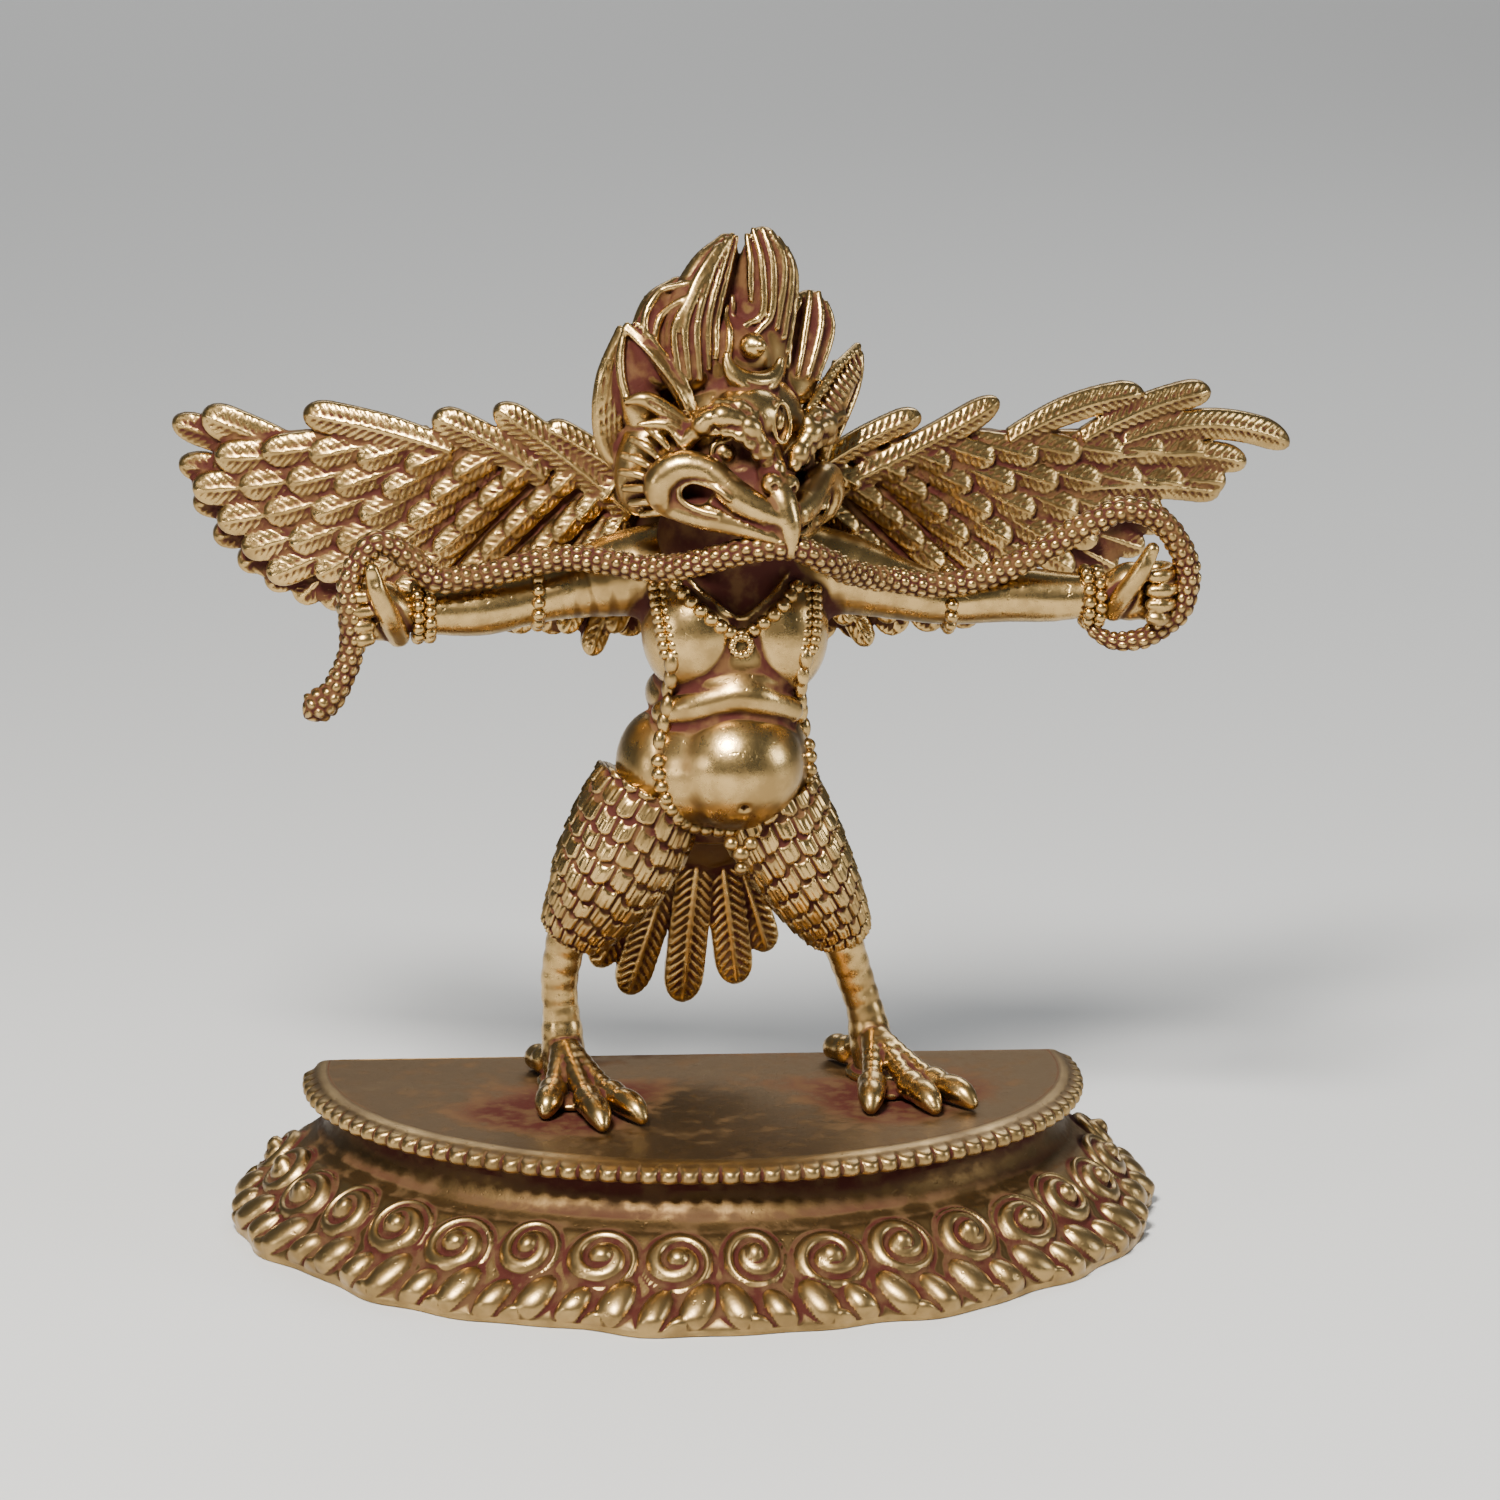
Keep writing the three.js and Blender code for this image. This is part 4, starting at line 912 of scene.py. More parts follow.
def shape_beak(clay):
    clay.add(head_rope([(-1.0, 7.0, 0.6, 1.6), (-0.8, 8.9, -1.6, 1.6), (-0.7, 10.4, -3.6, 1.75),
                        (-0.3, 11.9, -5.6, 1.65), (0.4, 12.9, -8.0, 1.2), (0.8, 13.2, -10.6, 0.45)]), 0.35)
    clay.add(rope([(-0.6, -6.0, -5.4), (-0.6, -9.4, -6.6)], [4.4, 2.4]), 0.6)
    for side in (-1, 1):
        def put(points):
            return points if side < 0 else across(points)

        clay.add(head_rope(put([(-8.4, 4.6, -5.9, 2.6), (-5.6, 7.4, -6.9, 2.4), (-3.0, 9.6, -7.7, 2.0),
                                (-1.2, 11.2, -8.4, 1.3)])), 0.3)
        clay.add(head_rope(put(CHEEK)), 0.35)
        clay.add(head_rope(put(JAW)), 0.35)
        clay.cut(head_rope(put(SLIT)), 0.12)
        hole = put([(-8.7, 7.4, -5.6)])[0]
        clay.cut(head_ball(*hole, (1.5, 2.8, 1.2)), 0.15)
        clay.add(laid(clay, put(LIP), 0.36, 0.12, 30, 0.85), 0.1)
        clay.cut(head_rope(put([(-4.6, 8.9, -2.2, 0.8), (-2.9, 10.2, -3.2, 0.8),
                                (-1.9, 11.2, -4.6, 0.5)])), 0.3)
        clay.add(head_ball(side * 1.15 - 0.7, 11.2, -3.3, (1.2, 1.25, 1.2)), 0.1)
        clay.cut(head_ball(side * 1.3 - 0.7, 12.4, -3.6, (0.4, 0.6, 0.42)), 0.06)
    clay.add(head_ball(-0.8, 10.4, -1.7, (0.9, 0.9, 0.9)), 0.1)


RUFF_IN = [(-10.2, 5.0, -0.6), (-11.5, 4.4, -1.1), (-12.4, 3.8, -2.2), (-12.7, 3.4, -3.5), (-12.5, 3.2, -4.8),
           (-11.9, 3.2, -6.1), (-10.9, 3.2, -7.3), (-9.6, 3.2, -8.3)]
RUFF_OUT = [(-11.2, 2.9, 1.0), (-13.0, 2.1, 0.5), (-14.3, 1.4, -0.9), (-14.9, 0.9, -2.8), (-14.7, 0.6, -4.7),
            (-13.9, 0.4, -6.5), (-12.7, 0.4, -8.1), (-11.2, 0.6, -9.2)]


def shape_ruff(clay):
    for a, b in zip(RUFF_IN, RUFF_OUT):
        middle = tuple((a[i] + b[i]) / 2 + (0, 0.35, 0.15)[i] for i in range(3))
        bar = [(*a, 0.4), (*middle, 0.54), (*b, 0.42)]
        clay.add(head_rope(bar, 8), 0.04)
        clay.add(head_rope(across(bar, 0.76), 8), 0.04)


EAR_EDGE = [(-15.3, -1.4, 11.3, 0.4), (-13.4, 0.2, 9.4, 0.75), (-11.6, 1.4, 7.4, 0.95),
            (-10.0, 2.6, 5.2, 1.0), (-8.7, 3.6, 2.9, 0.8)]
EAR_BACK = [(-15.3, -1.6, 11.2, 0.35), (-15.7, -1.3, 8.4, 0.5), (-15.6, -0.6, 5.6, 0.55),
            (-15.0, 0.6, 3.0, 0.5)]
LEAVES = [
    [(-15.6, 1.0, 3.1, 0.3), (-13.8, 2.0, 3.7, 0.9), (-11.5, 3.2, 2.7, 1.0), (-9.2, 4.6, 1.4, 0.7)],
    [(-14.2, 2.2, 0.9, 0.3), (-11.7, 3.6, 1.3, 0.75), (-9.4, 4.8, 0.4, 0.6)],
]


def shape_ears(clay):
    clay.add(head_rope([(-15.0, -2.4, 10.2, 0.5), (-13.8, -2.4, 7.4, 1.6), (-12.6, -2.0, 4.4, 2.4),
                        (-11.6, -1.2, 1.4, 2.2)]), 0.2)
    clay.add(head_rope(EAR_EDGE), 0.1)
    clay.add(head_rope(EAR_BACK), 0.1)
    lay_all(clay, [[(p[0] + dx, p[1], p[2] + dx * 0.8) for p in EAR_EDGE] for dx in (-0.45, 0.6)], 0.3, 0.04)
    clay.add(head_rope([(15.0, -1.6, 10.6, 0.5), (13.9, -1.0, 8.0, 1.5), (11.6, 0, 5.2, 2.2),
                        (9.4, 1.4, 2.4, 2.3)]), 0.2)
    edge = [(15.3, -1.4, 11.4), (13.2, -0.2, 10.2), (10.8, 1.2, 8.8), (8.6, 2.6, 6.4), (6.8, 3.6, 4.4)]
    edge = curve_through(edge, 14)
    clay.add(rope(on_head(edge), 0.5), 0.1)
    lay_all(clay, [[tuple(p), (p[0] + 0.9, p[1] - 0.2, p[2] - 1.5), (p[0] + 2.0, p[1] - 0.6, p[2] - 2.3)]
                   for p in edge[1:-1]], 0.3, 0.04)
    lay_all(clay, [[(15.7, -1.8, 10.6), (15.4, -0.8, 7.0), (12.4, 1.4, 1.4)]], 0.5, 0.08)
    for leaf in LEAVES:
        for one in (leaf, across(leaf)):
            clay.add(head_rope(one), 0.12)
            clay.cut(head_rope([(p[0], p[1] + p[3] + 0.1, p[2] - 0.1, 0.24) for p in one[1:]]), 0.1)
    strands = []
    for i in range(5):
        t = i / 4
        strands.append([(-15.2 + 0.8 * t, -2.2 + 0.5 * t, 10.6 - 2.6 * t),
                        (-16.6 + 2.2 * t, -2.6 + 0.6 * t, 5.6 - 1.4 * t),
                        (-16.4 + 2.6 * t, -2.8 + 0.6 * t, 1.0 - 0.8 * t),
                        (-15.1 + 2.2 * t, -2.8 + 0.6 * t, -2.7 - 0.4 * t),
                        (-12.9 + 0.8 * t, -2.4 + 0.4 * t, -4.8)])
    for points in strands:
        for share, fall in ((1, 0), (-0.9, 1.5)):
            under = [(p[0] * share, p[1] - 0.7, p[2] - fall, 0.5) for p in points]
            clay.add(head_rope(under, 24), 0.1)
            clay.add(head_rope([(p[0], p[1] + 0.5, p[2], 0.3) for p in under], 24), 0.03)


# Flame locks: soft cores as left, forward, up and radius, with strands from tip to foot.
CORES = [
    [(-0.5, 0.3, 22.7, 1.1), (0.3, 0.5, 19.4, 2.3), (0.6, 0.8, 14, 2.5), (0.8, 1.2, 8, 2.3)],
    [(-5.2, 0.2, 21.9, 0.7), (-7.0, 0.2, 18.4, 1.7), (-8.4, 0.5, 13, 2.2), (-8.2, 1.2, 7, 2.1)],
    [(-9.4, -1.5, 16.4, 0.8), (-11.5, -1.5, 13.8, 1.5), (-12.2, -1.2, 9.6, 1.7), (-11.2, -0.6, 6, 1.6)],
    [(-3.6, -1.6, 20.8, 0.8), (-4.0, -1.6, 17.5, 1.8), (-4.2, -1.0, 12, 2.4)],
    [(8.0, -1.5, 16.0, 1.2), (8.2, -1.2, 13, 2.0), (6.8, -0.2, 8.5, 2.1), (6.2, 0.4, 6, 1.8)],
]
LOCKS = [
    [(-2.7, 1.2, 22.6), (-2.6, 2.8, 19.2), (-2.3, 4.2, 15.8)],
    [(-2.1, 1.4, 23.3), (-1.5, 3.2, 19.4), (-1.0, 4.6, 14.5), (-2.8, 5.2, 12.9)],
    [(-1.2, 1.4, 23.5), (-0.3, 3.2, 19.9), (0.0, 4.6, 14.6), (-1.4, 5.2, 12.3)],
    [(-0.3, 1.4, 23.3), (1.2, 2.8, 20.0), (1.0, 4.4, 13.0)],
    [(0.8, 1.0, 22.7), (2.4, 2.2, 19.4), (2.2, 3.8, 12.0)],
    [(1.9, 0.6, 21.8), (3.6, 1.6, 17.9), (3.3, 3.2, 10.5)],
    [(-4.4, 2.6, 14.6), (-4.9, 3.6, 11.6), (-5.1, 4.2, 8.6)],
    [(-3.6, 2.6, 15.8), (-3.7, 3.4, 13.6)],
    [(-4.2, 1.3, 22.3), (-5.2, 2.4, 19.0), (-6.1, 3.2, 14.0), (-6.3, 4.4, 9.1)],
    [(-4.9, 1.3, 22.5), (-6.5, 2.2, 18.5), (-7.6, 3.0, 13.1), (-6.9, 4.2, 7.8)],
    [(-5.6, 1.0, 22.0), (-7.7, 1.8, 18.2), (-9.0, 2.6, 12.5), (-8.0, 4.0, 6.6)],
    [(-6.4, 0.6, 21.3), (-8.9, 1.0, 16.8), (-10.3, 1.8, 12.1), (-9.3, 3.0, 6.5)],
    [(-6.9, -0.2, 21.0), (-8.9, -0.2, 18.0), (-10.2, 0.4, 14.8), (-11.0, 0.8, 11.6)],
    [(-8.0, -0.2, 18.6), (-9.9, 0.2, 15.3), (-11.3, 1.0, 11.5), (-10.2, 2.0, 6.3)],
    [(-9.0, -0.8, 17.2), (-12.4, -0.6, 15.2), (-13.9, -0.2, 11.9), (-12.8, 0.6, 7.9)],
    [(-8.8, -0.6, 16.3), (-11.5, -0.3, 13.9), (-12.7, 0.2, 10.8), (-11.6, 0.8, 6.8)],
    [(6.3, -0.4, 16.0), (5.2, 1.0, 12.8), (4.5, 2.2, 8.7)],
    [(7.4, -0.6, 17.0), (6.6, 0.8, 13.3), (5.6, 2.0, 8.0)],
    [(8.6, -0.8, 17.0), (8.4, 0.6, 13.4), (6.9, 1.8, 7.8)],
    [(9.7, -1.1, 16.0), (10.4, -0.2, 13.1), (8.5, 1.2, 7.6)],
]


def shape_hair(clay):
    for core in CORES:
        clay.add(head_rope(core, 20, (0.68, 1, 1)), 0.15)
    clay.cut(head_rope([(-5.4, 4.6, 10.5, 0.5), (-4.6, 4.2, 14.0, 1.3), (-4.1, 3.4, 18.5, 0.8),
                        (-3.7, 2.8, 21.8, 0.4)]), 0.2)
    lay_all(clay, LOCKS, 0.46, 0.04, 0.14)
    for i in range(-5, 6):
        back = []
        for up in np.linspace(14.0, -5.0, 12):
            left = -1.5 + i * (1.0 + 1.1 * math.cos((up - 4.5) / 13))
            depth = 1 - ((left + 1.5) / 12.6) ** 2 - ((up - 4.5) / 11.2) ** 2
            back.append((left, 4.6 + 3.9 * math.sqrt(max(depth, 0.05)), up))
        clay.add(rope(back, 0.55), 0.2)


def shape_crescent(clay):
    turns = np.radians(np.linspace(-86, 86, 26))
    body = 0.4 + 1.1 * np.cos(turns) ** 1.3
    ground = clay.front(-3.3, 8.6) or -4.6
    line = np.stack([-2.3 + 3.55 * np.sin(turns), ground - 1.3 + 0.7 * np.sin(turns) ** 2,
                     9.9 - 3.2 * np.cos(turns)], 1)
    clay.add(rope(line, body), 0.1)
    clay.cut(rope(line[3:-3] + (0, -1.45, 0.05), 0.24), 0.05)
    clay.add(head_ball(-2.6, -ground + 0.5, 10.9, (1.5, 1.5, 1.5)), 0.06)
    clay.add(head_ball(-2.4, -ground + 1.85, 11.1, (0.72, 0.62, 0.72)), 0.04)


class GARUDA_OT_head(bpy.types.Operator):
    """Head with beak, ears, flame locks and the crescent with its jewel"""

    bl_idname = "garuda.head"
    bl_label = "Head"

    def execute(self, context):
        step = context.scene.garuda_sizes.head_step
        clay = Clay((-17.5, -15.5, -14.5), (17.5, 10, 25.2), step)
        shape_skull(clay)
        shape_hair(clay)
        shape_ears(clay)
        shape_ruff(clay)
        shape_face(clay)
        shape_beak(clay)
        shape_crescent(clay)
        show_clay("garuda_head", clay, warp=head_to_figure, extra=self.patina_and_shade)
        return {"FINISHED"}

    @staticmethod
    def patina_and_shade(points):
        """Painted shade over the patina of these hollows: hair, locks, ear, eye sockets, and a shadow under
        the chin.
        """
        left, ahead, up = points[:, 0], -points[:, 1], points[:, 2]
        hair = smoothstep(up, 7.0, 9.5) * smoothstep(ahead, 4.6, 2.0) * smoothstep(ahead, -4.5, -1.0)
        ear = smoothstep(np.hypot((left + 13.2) / 2.6, (up - 6.0) / 4.4), 1.1, 0.6)
        ear = ear * smoothstep(ahead, 1.4, 0.2)
        chin = smoothstep(up, -8.8, -10.4) * smoothstep(ahead, 11.5, 9.0)
        valley = smoothstep(np.abs(left + 4.2), 1.9, 0.9) * smoothstep(up, 10.5, 12.5) * (ahead > 0)
        aside = np.abs(left + 0.4)
        socket = smoothstep(np.hypot((aside - 4.2) / 3.8, (up + 1.8) / 2.5), 1.1, 0.7) * (ahead > 4)
        eyeball = smoothstep(np.hypot(aside - 5.0, up + 0.9), 1.3, 0.9)
        return 0.05 * hair + 0.2 * ear + 0.16 * chin + 0.12 * valley + 0.14 * socket * (1 - eyeball)


# Wings: s runs outward from the spine and h up, both in parts of the figure. The sheet gives the
# upper and lower edge by s. Lead feathers run along the top, fans spread at the tip, trail feathers
# hang at the root, and aim turns the rows of small feathers that fill the area.
SPINE_X = 4
WING_BACK = 5.9
WINGS = {
    "wing_right": {
        "side": -1,
        "sheet": [(2, 69, 57), (14, 72, 53.6), (22, 73.4, 52.8), (32, 74.4, 54.0), (42, 74.4, 55.6),
                  (49, 73.8, 59.0), (55, 73, 65)],
        "lead": [(47.5, 76.9, 31, 73, 0.4, 1.9), (33, 77, 20.5, 70, 0.5, 1.9),
                 (26.1, 78.2, 11, 66, 0.4, 1.9), (20.6, 76.1, 9.5, 69, 0.3, 1.7)],
        "fans": [{"s": 36, "h": 67, "count": 8, "first": 17, "step": 10.2, "reach": 27.4, "fall": 0.16,
                  "half": 1.85, "lift": -0.7},
                 {"s": 36, "h": 67, "count": 5, "first": 22, "step": 13, "reach": 24.6, "fall": 0.2,
                  "half": 2.15, "lift": 0.2}],
        "trail": (9.5, 40, 52.6, -72),
        "aim": (-46, 1.15, 24),
        "area": [(12, 71.5, 53), (24, 73, 54), (36, 74, 55), (46, 74, 58), (53, 72.4, 63)],
    },
    "wing_left": {
        "side": 1,
        "sheet": [(2, 69, 57), (14, 73, 52.6), (22, 74.2, 52.6), (30, 73.8, 55.0), (40, 73.2, 59.2),
                  (48, 72.8, 63.0), (54, 71.6, 66.6)],
        "lead": [(22.4, 76.4, 9, 70, 0.6, 1.5), (31.8, 77.4, 10, 67.6, -0.4, 1.7),
                 (49.6, 77, 33, 72.6, 1.1, 1.7), (58, 76.6, 42, 72, 0.9, 1.7),
                 (68.4, 69.4, 47, 71.4, 2.2, 1.8), (62.8, 67.6, 45, 69.8, 0.8, 1.7),
                 (59.4, 64.4, 42, 66.4, 0.6, 1.6)],
        "fans": [{"s": 30, "h": 66, "count": 4, "first": -12, "step": 9, "reach": 24, "fall": 0.25,
                  "half": 1.85, "lift": -0.5}],
        "trail": (9.5, 28, 51.6, -78),
        "aim": (-26, 0.7, 34),
        "area": [(12, 71.5, 53), (24, 73, 54), (36, 72.6, 58), (46, 71.8, 63), (52, 70.8, 66)],
    },
}


def feather(root, tip, half, bow=0.0, rise=1.0, lift=0.4, thick=0.8, barb=0.18, pitch=0.88, blunt=0.45):
    """A fat round-tipped feather in a sheet: x and y lie in the sheet and z lifts off it."""
    root, tip = np.array(root, float), np.array(tip, float)
    length = float(np.linalg.norm(tip - root))
    run = (tip - root) / length
    over = np.array([-run[1], run[0]])

    def distance(x, y, z):
        dx, dy = x - root[0], y - root[1]
        along = dx * run[0] + dy * run[1]
        t = np.clip(along / length, 0, 1)
        w = dx * over[0] + dy * over[1] - 4 * bow * t * (1 - t)
        wide = half * (0.8 + 0.2 * smoothstep(t, 0, 0.5))
        nose = blunt * length
        reach = np.maximum(along - (length - nose), 0) / nose
        q = np.sqrt(reach**2.4 + (w / wide) ** 2)
        plan = np.maximum((q - 1) * min(half, nose), -along)
        across = np.clip(np.abs(w) / wide, 0, 1)
        phase = 2 * math.pi * (along - 1.05 * np.abs(w)) / pitch
        lines = barb * (0.5 + 0.5 * np.cos(phase)) * smoothstep(across, 0.1, 0.28) * smoothstep(q, 1.0, 0.85)
        shaft = 0.2 * np.exp(-((w / 0.22) ** 2)) * smoothstep(q, 1.0, 0.8)
        crown = thick * np.sqrt(np.clip(1 - 0.86 * np.minimum(q, 1) ** 3, 0.02, 1))
        top = lift + rise * t + crown - lines + shaft
        return np.maximum(np.maximum(plan, (z - top) * 0.8), lift - 0.9 - z)

    pad = half + abs(bow) + 0.3
    low = np.minimum(root, tip) - pad
    high = np.maximum(root, tip) + pad
    return Form(distance, (*low, lift - 1.0), (*high, lift + max(rise, 0) + thick + 0.3))


def polar(place, degrees, distance):
    angle = math.radians(degrees)
    return (place[0] + distance * math.cos(angle), place[1] + distance * math.sin(angle))


def sheet_form(rows):
    rows = np.array(rows, float)

    def distance(x, y, z):
        top = np.interp(x, rows[:, 0], rows[:, 1])
        bottom = np.interp(x, rows[:, 0], rows[:, 2])
        plan = np.maximum(np.maximum(y - top, bottom - y), np.maximum(rows[0, 0] - x, x - rows[-1, 0]))
        edge = np.clip(-plan / 3.0, 0, 1)
        face = 0.2 + 0.7 * np.sqrt(edge)
        back = -0.1 - 1.1 * np.sqrt(edge)
        return np.maximum(plan, np.maximum(z - face, back - z))

    return Form(distance, (rows[0, 0], rows[:, 2].min(), -1.4), (rows[-1, 0], rows[:, 1].max(), 1.2))


def turned_over(form, level):
    """The same form on the sheet's back."""
    return Form(
        lambda x, y, z: form.distance(x, y, level - z),
        (*form.low[:2], level - form.high[2]),
        (*form.high[:2], level - form.low[2]),
    )


def press_wing(clay, plan):
    clay.add(sheet_form(plan["sheet"]))
    for row in range(3, -1, -1):
        for s in np.arange(9.0 + 3.6 * (row % 2), 50, 7.2):
            h = np.interp(s, [2, 30, 54], [71, 73, 71]) - 1.6 - row * (4.6 - 0.03 * s)
            if h < np.interp(s, *np.array(plan["sheet"])[:, [0, 2]].T) + 1:
                continue
            angle = plan["aim"][0] + plan["aim"][1] * (s - 12) * 0.8
            plain = feather(polar((s, h), angle, -4.5), polar((s, h), angle, 5.5), 2.5, lift=-0.5, rise=0.9,
                            thick=0.7, barb=0.07, pitch=1.1, blunt=0.3)
            clay.add(turned_over(plain, -0.9), 0.08)
    for fan in plan["fans"]:
        for i in range(fan["count"]):
            angle = fan["first"] - fan["step"] * i
            reach = fan["reach"] - fan["fall"] * (fan["first"] - angle)
            heart = (fan["s"], fan["h"])
            clay.add(feather(polar(heart, angle, reach * 0.45), polar(heart, angle, reach), fan["half"],
                             lift=fan["lift"], rise=0.5, blunt=0.25), 0.08)
    start, stop, height, turn = plan["trail"]
    for s in np.arange(start, stop + 0.1, 4.2):
        root = (s, height + 5)
        clay.add(feather(root, polar(root, turn + 0.5 * s, 6.4), 2.3, lift=-0.4, rise=0.5), 0.08)
    area = np.array(plan["area"])
    slope, turn_s, turn_h = plan["aim"]
    for row in range(7, -1, -1):
        for s in np.arange(12.0 + (row % 2) * 2.5, 56, 5.0):
            h = np.interp(s, area[:, 0], area[:, 1]) - 0.9 - row * (2.45 + 0.85 * (s - 12) / 38)
            if h < np.interp(s, area[:, 0], area[:, 2]):
                continue
            angle = slope + turn_s * (s - 12) - turn_h * (74 - h) / 19
            size = 0.8 + 0.36 * (s - 12) / 40
            root, tip = polar((s, h), angle, -4.0 * size), polar((s, h), angle, 4.8 * size)
            clay.add(feather(root, tip, 1.72 * size, lift=0.5, rise=1.45, thick=0.95, barb=0.2,
                             blunt=0.3), 0.06)
    for tip_s, tip_h, root_s, root_h, bow, half in plan["lead"]:
        clay.add(feather((root_s, root_h), (tip_s, tip_h), half, bow, rise=0.3, lift=1.3, thick=1.0,
                         barb=0.24, pitch=0.95, blunt=0.18), 0.1)


class GARUDA_OT_wings(bpy.types.Operator):
    """Both wings, each a bent sheet with rows of feathers pressed on it"""

    bl_idname = "garuda.wings"
    bl_label = "Wings"

    def execute(self, context):
        step = context.scene.garuda_sizes.wing_step
        for name, plan in WINGS.items():
            clay = Clay((1, 43, -2.2), (71, 80, 3.6), (step, step, step * 1.15))
            press_wing(clay, plan)
            side = plan["side"]

            def bend(points, side=side):
                s, h, lift = points.T
                return np.stack([SPINE_X + side * s, WING_BACK + 0.12 * s + 0.002 * s * s - lift, h], 1)

            # Painted shade in the gaps between feathers, where the surface lies low on the sheet.
            def gap_shade(points):
                return 0.1 * smoothstep(points[:, 2], 1.25, 0.6) * (points[:, 2] > -0.2)

            show_clay(name, clay, warp=bend, extra=gap_shade)
        return {"FINISHED"}


TAIL_TIPS = [(-11, 11.6, 2.0), (9, 13, 2.0), (-7.4, 8.2, 2.2), (5.4, 9.2, 2.2), (-1.1, 7.2, 2.3)]


class GARUDA_OT_tail(bpy.types.Operator):
    """Tail feathers that hang between the legs, with a rump to carry them"""

    bl_idname = "garuda.tail"
    bl_label = "Tail"

    def execute(self, context):
        step = context.scene.garuda_sizes.wing_step
        clay = Clay((-15, 5.5, -6.5), (14, 37, 8), (step, step, step * 1.15))
        clay.add(ball((1.8, 29.5, 0.6), (6.2, 6.0, 3.0)))
        for i, (x, z, half) in enumerate(TAIL_TIPS):
            root = (1.5 + (x - 1.5) * 0.25, 31)
            clay.add(feather(root, (x, z), half, lift=0.35 * i - 0.4, rise=0.3, thick=1.0, barb=0.3,
                             pitch=1.15, blunt=0.16), 0.08)

        def bend(points):
            x, z, lift = points.T
            return np.stack([x, 12.2 - 0.18 * z - lift, z], 1)

        # The tail is darker toward its roots under the rump: painted shade.
        show_clay("tail_feathers", clay, warp=bend, extra=lambda p: 0.02 + 0.08 * smoothstep(p[:, 1], 22, 29))
        return {"FINISHED"}


# The serpent's middle line from its blunt head to its thin tail, with its half thickness.
SERPENT = [
    (-44.9, -6.8, 46.5, 1.7), (-43.2, -6.8, 47.9, 2.0), (-41.3, -6.8, 49.8, 1.6), (-39.7, -6.8, 53.6, 1.5),
    (-39.5, -7.2, 58, 1.5), (-39.4, -7, 62.3, 1.5), (-36.6, -6.4, 66, 1.5), (-32.9, -6, 64.2, 1.5),
    (-30.2, -5.6, 61.7, 1.5), (-25.5, -5.0, 61.6, 1.5), (-19.6, -5.0, 63.0, 1.5), (-13.5, -5.8, 63.6, 1.5),
    (-7, -8.4, 62.9, 1.5), (-1.4, -12.6, 64.2, 1.5), (3.8, -15.0, 66.1, 1.5), (8.6, -15.3, 66.2, 1.5),
    (12.4, -13.8, 64.4, 1.5), (16, -9.6, 62.0, 1.5), (20.5, -6.2, 60.4, 1.5), (26, -5.0, 59.4, 1.5),
    (32, -5.2, 60.3, 1.5), (38, -6.0, 63.1, 1.5), (43, -6.8, 66.2, 1.5), (47.4, -7.2, 67.9, 1.5),
    (51.6, -7.2, 66.3, 1.5), (54.4, -6.8, 61.6, 1.5), (54.2, -6.4, 56.6, 1.4), (50.8, -5.8, 53.2, 1.3),
    (46.6, -5.0, 52.3, 1.1), (43.2, -4.2, 54.4, 0.7),
]


class GARUDA_OT_serpent(bpy.types.Operator):
    """Serpent with a skin of bead-like scales"""

    bl_idname = "garuda.serpent"
    bl_label = "Serpent"

    def execute(self, context):
        rows, around = 820, 42
        line = curve_through(SERPENT, rows)
        run = run_along(line[:, :3])
        even = np.linspace(0, run[-1], rows)
        line = np.stack([np.interp(even, run, line[:, c]) for c in range(4)], 1) * (1, 1, 1, 0.9)
        a = np.arange(around)[None, :] * 2 * math.pi / around
        v = even[:, None]
        scales, pitch = 7, 1.16
        row = v / pitch
        shift = 0.5 * (np.floor(row) % 2)
        x = (a / (2 * math.pi) * scales + shift) % 1 - 0.5
        y = row % 1 - 0.5
        bead = np.sqrt(np.clip(1 - (x / 0.5) ** 2 - (y / 0.52) ** 2, 0, 1))
        wear = 0.6 + 0.4 * np.sin(v * 0.9 + 2 * np.sin(v * 0.23)) * np.cos(a)
        raised = bead * 0.46 * (0.55 + 0.45 * wear)
        ends = np.sqrt(np.clip(np.minimum(v / 1.6, (run[-1] - v) / 1.2), 0.003, 1))
        radius = (line[:, 3:4] - 0.16 + raised * np.minimum(1, line[:, 3:4] / 1.4)) * ends
        points = swept(line, radius, radius, a).reshape(-1, 3)
        hollow = 0.17 - raised * 0.72
        show("serpent", figure_place(points), tube_quads(rows, around), hollow.reshape(-1), gilt(), "gilt")
        return {"FINISHED"}


def plinth_outline(angle, share, sizes):
    """A point of the skewed oval, spread by a share of the skirt. It draws in at the back."""
    skew = math.radians(-9)
    draw = share * (1 - 0.35 * np.clip(np.sin(angle) + 0.3, 0, 1))
    u = (sizes.oval_half_width + 9.2 * MM * draw) * np.cos(angle)
    v = (sizes.oval_half_depth + 10.55 * MM * draw) * np.sin(angle)
    return u * math.cos(skew) - v * math.sin(skew), 6.5 * MM + u * math.sin(skew) + v * math.cos(skew)


# The plinth's profile from the plate down to the foot: height share, spread share.
PROFILE = [
    (1.0, -0.14), (1.0, -0.06), (0.985, 0.02), (0.955, 0.06), (0.905, 0.075), (0.86, 0.05), (0.838, -0.06),
    (0.82, -0.17), (0.74, -0.15), (0.66, -0.09), (0.58, 0.0), (0.53, 0.12), (0.49, 0.24), (0.40, 0.42),
    (0.30, 0.6), (0.2, 0.78), (0.12, 0.92), (0.06, 0.985), (0.0, 1.0),
]


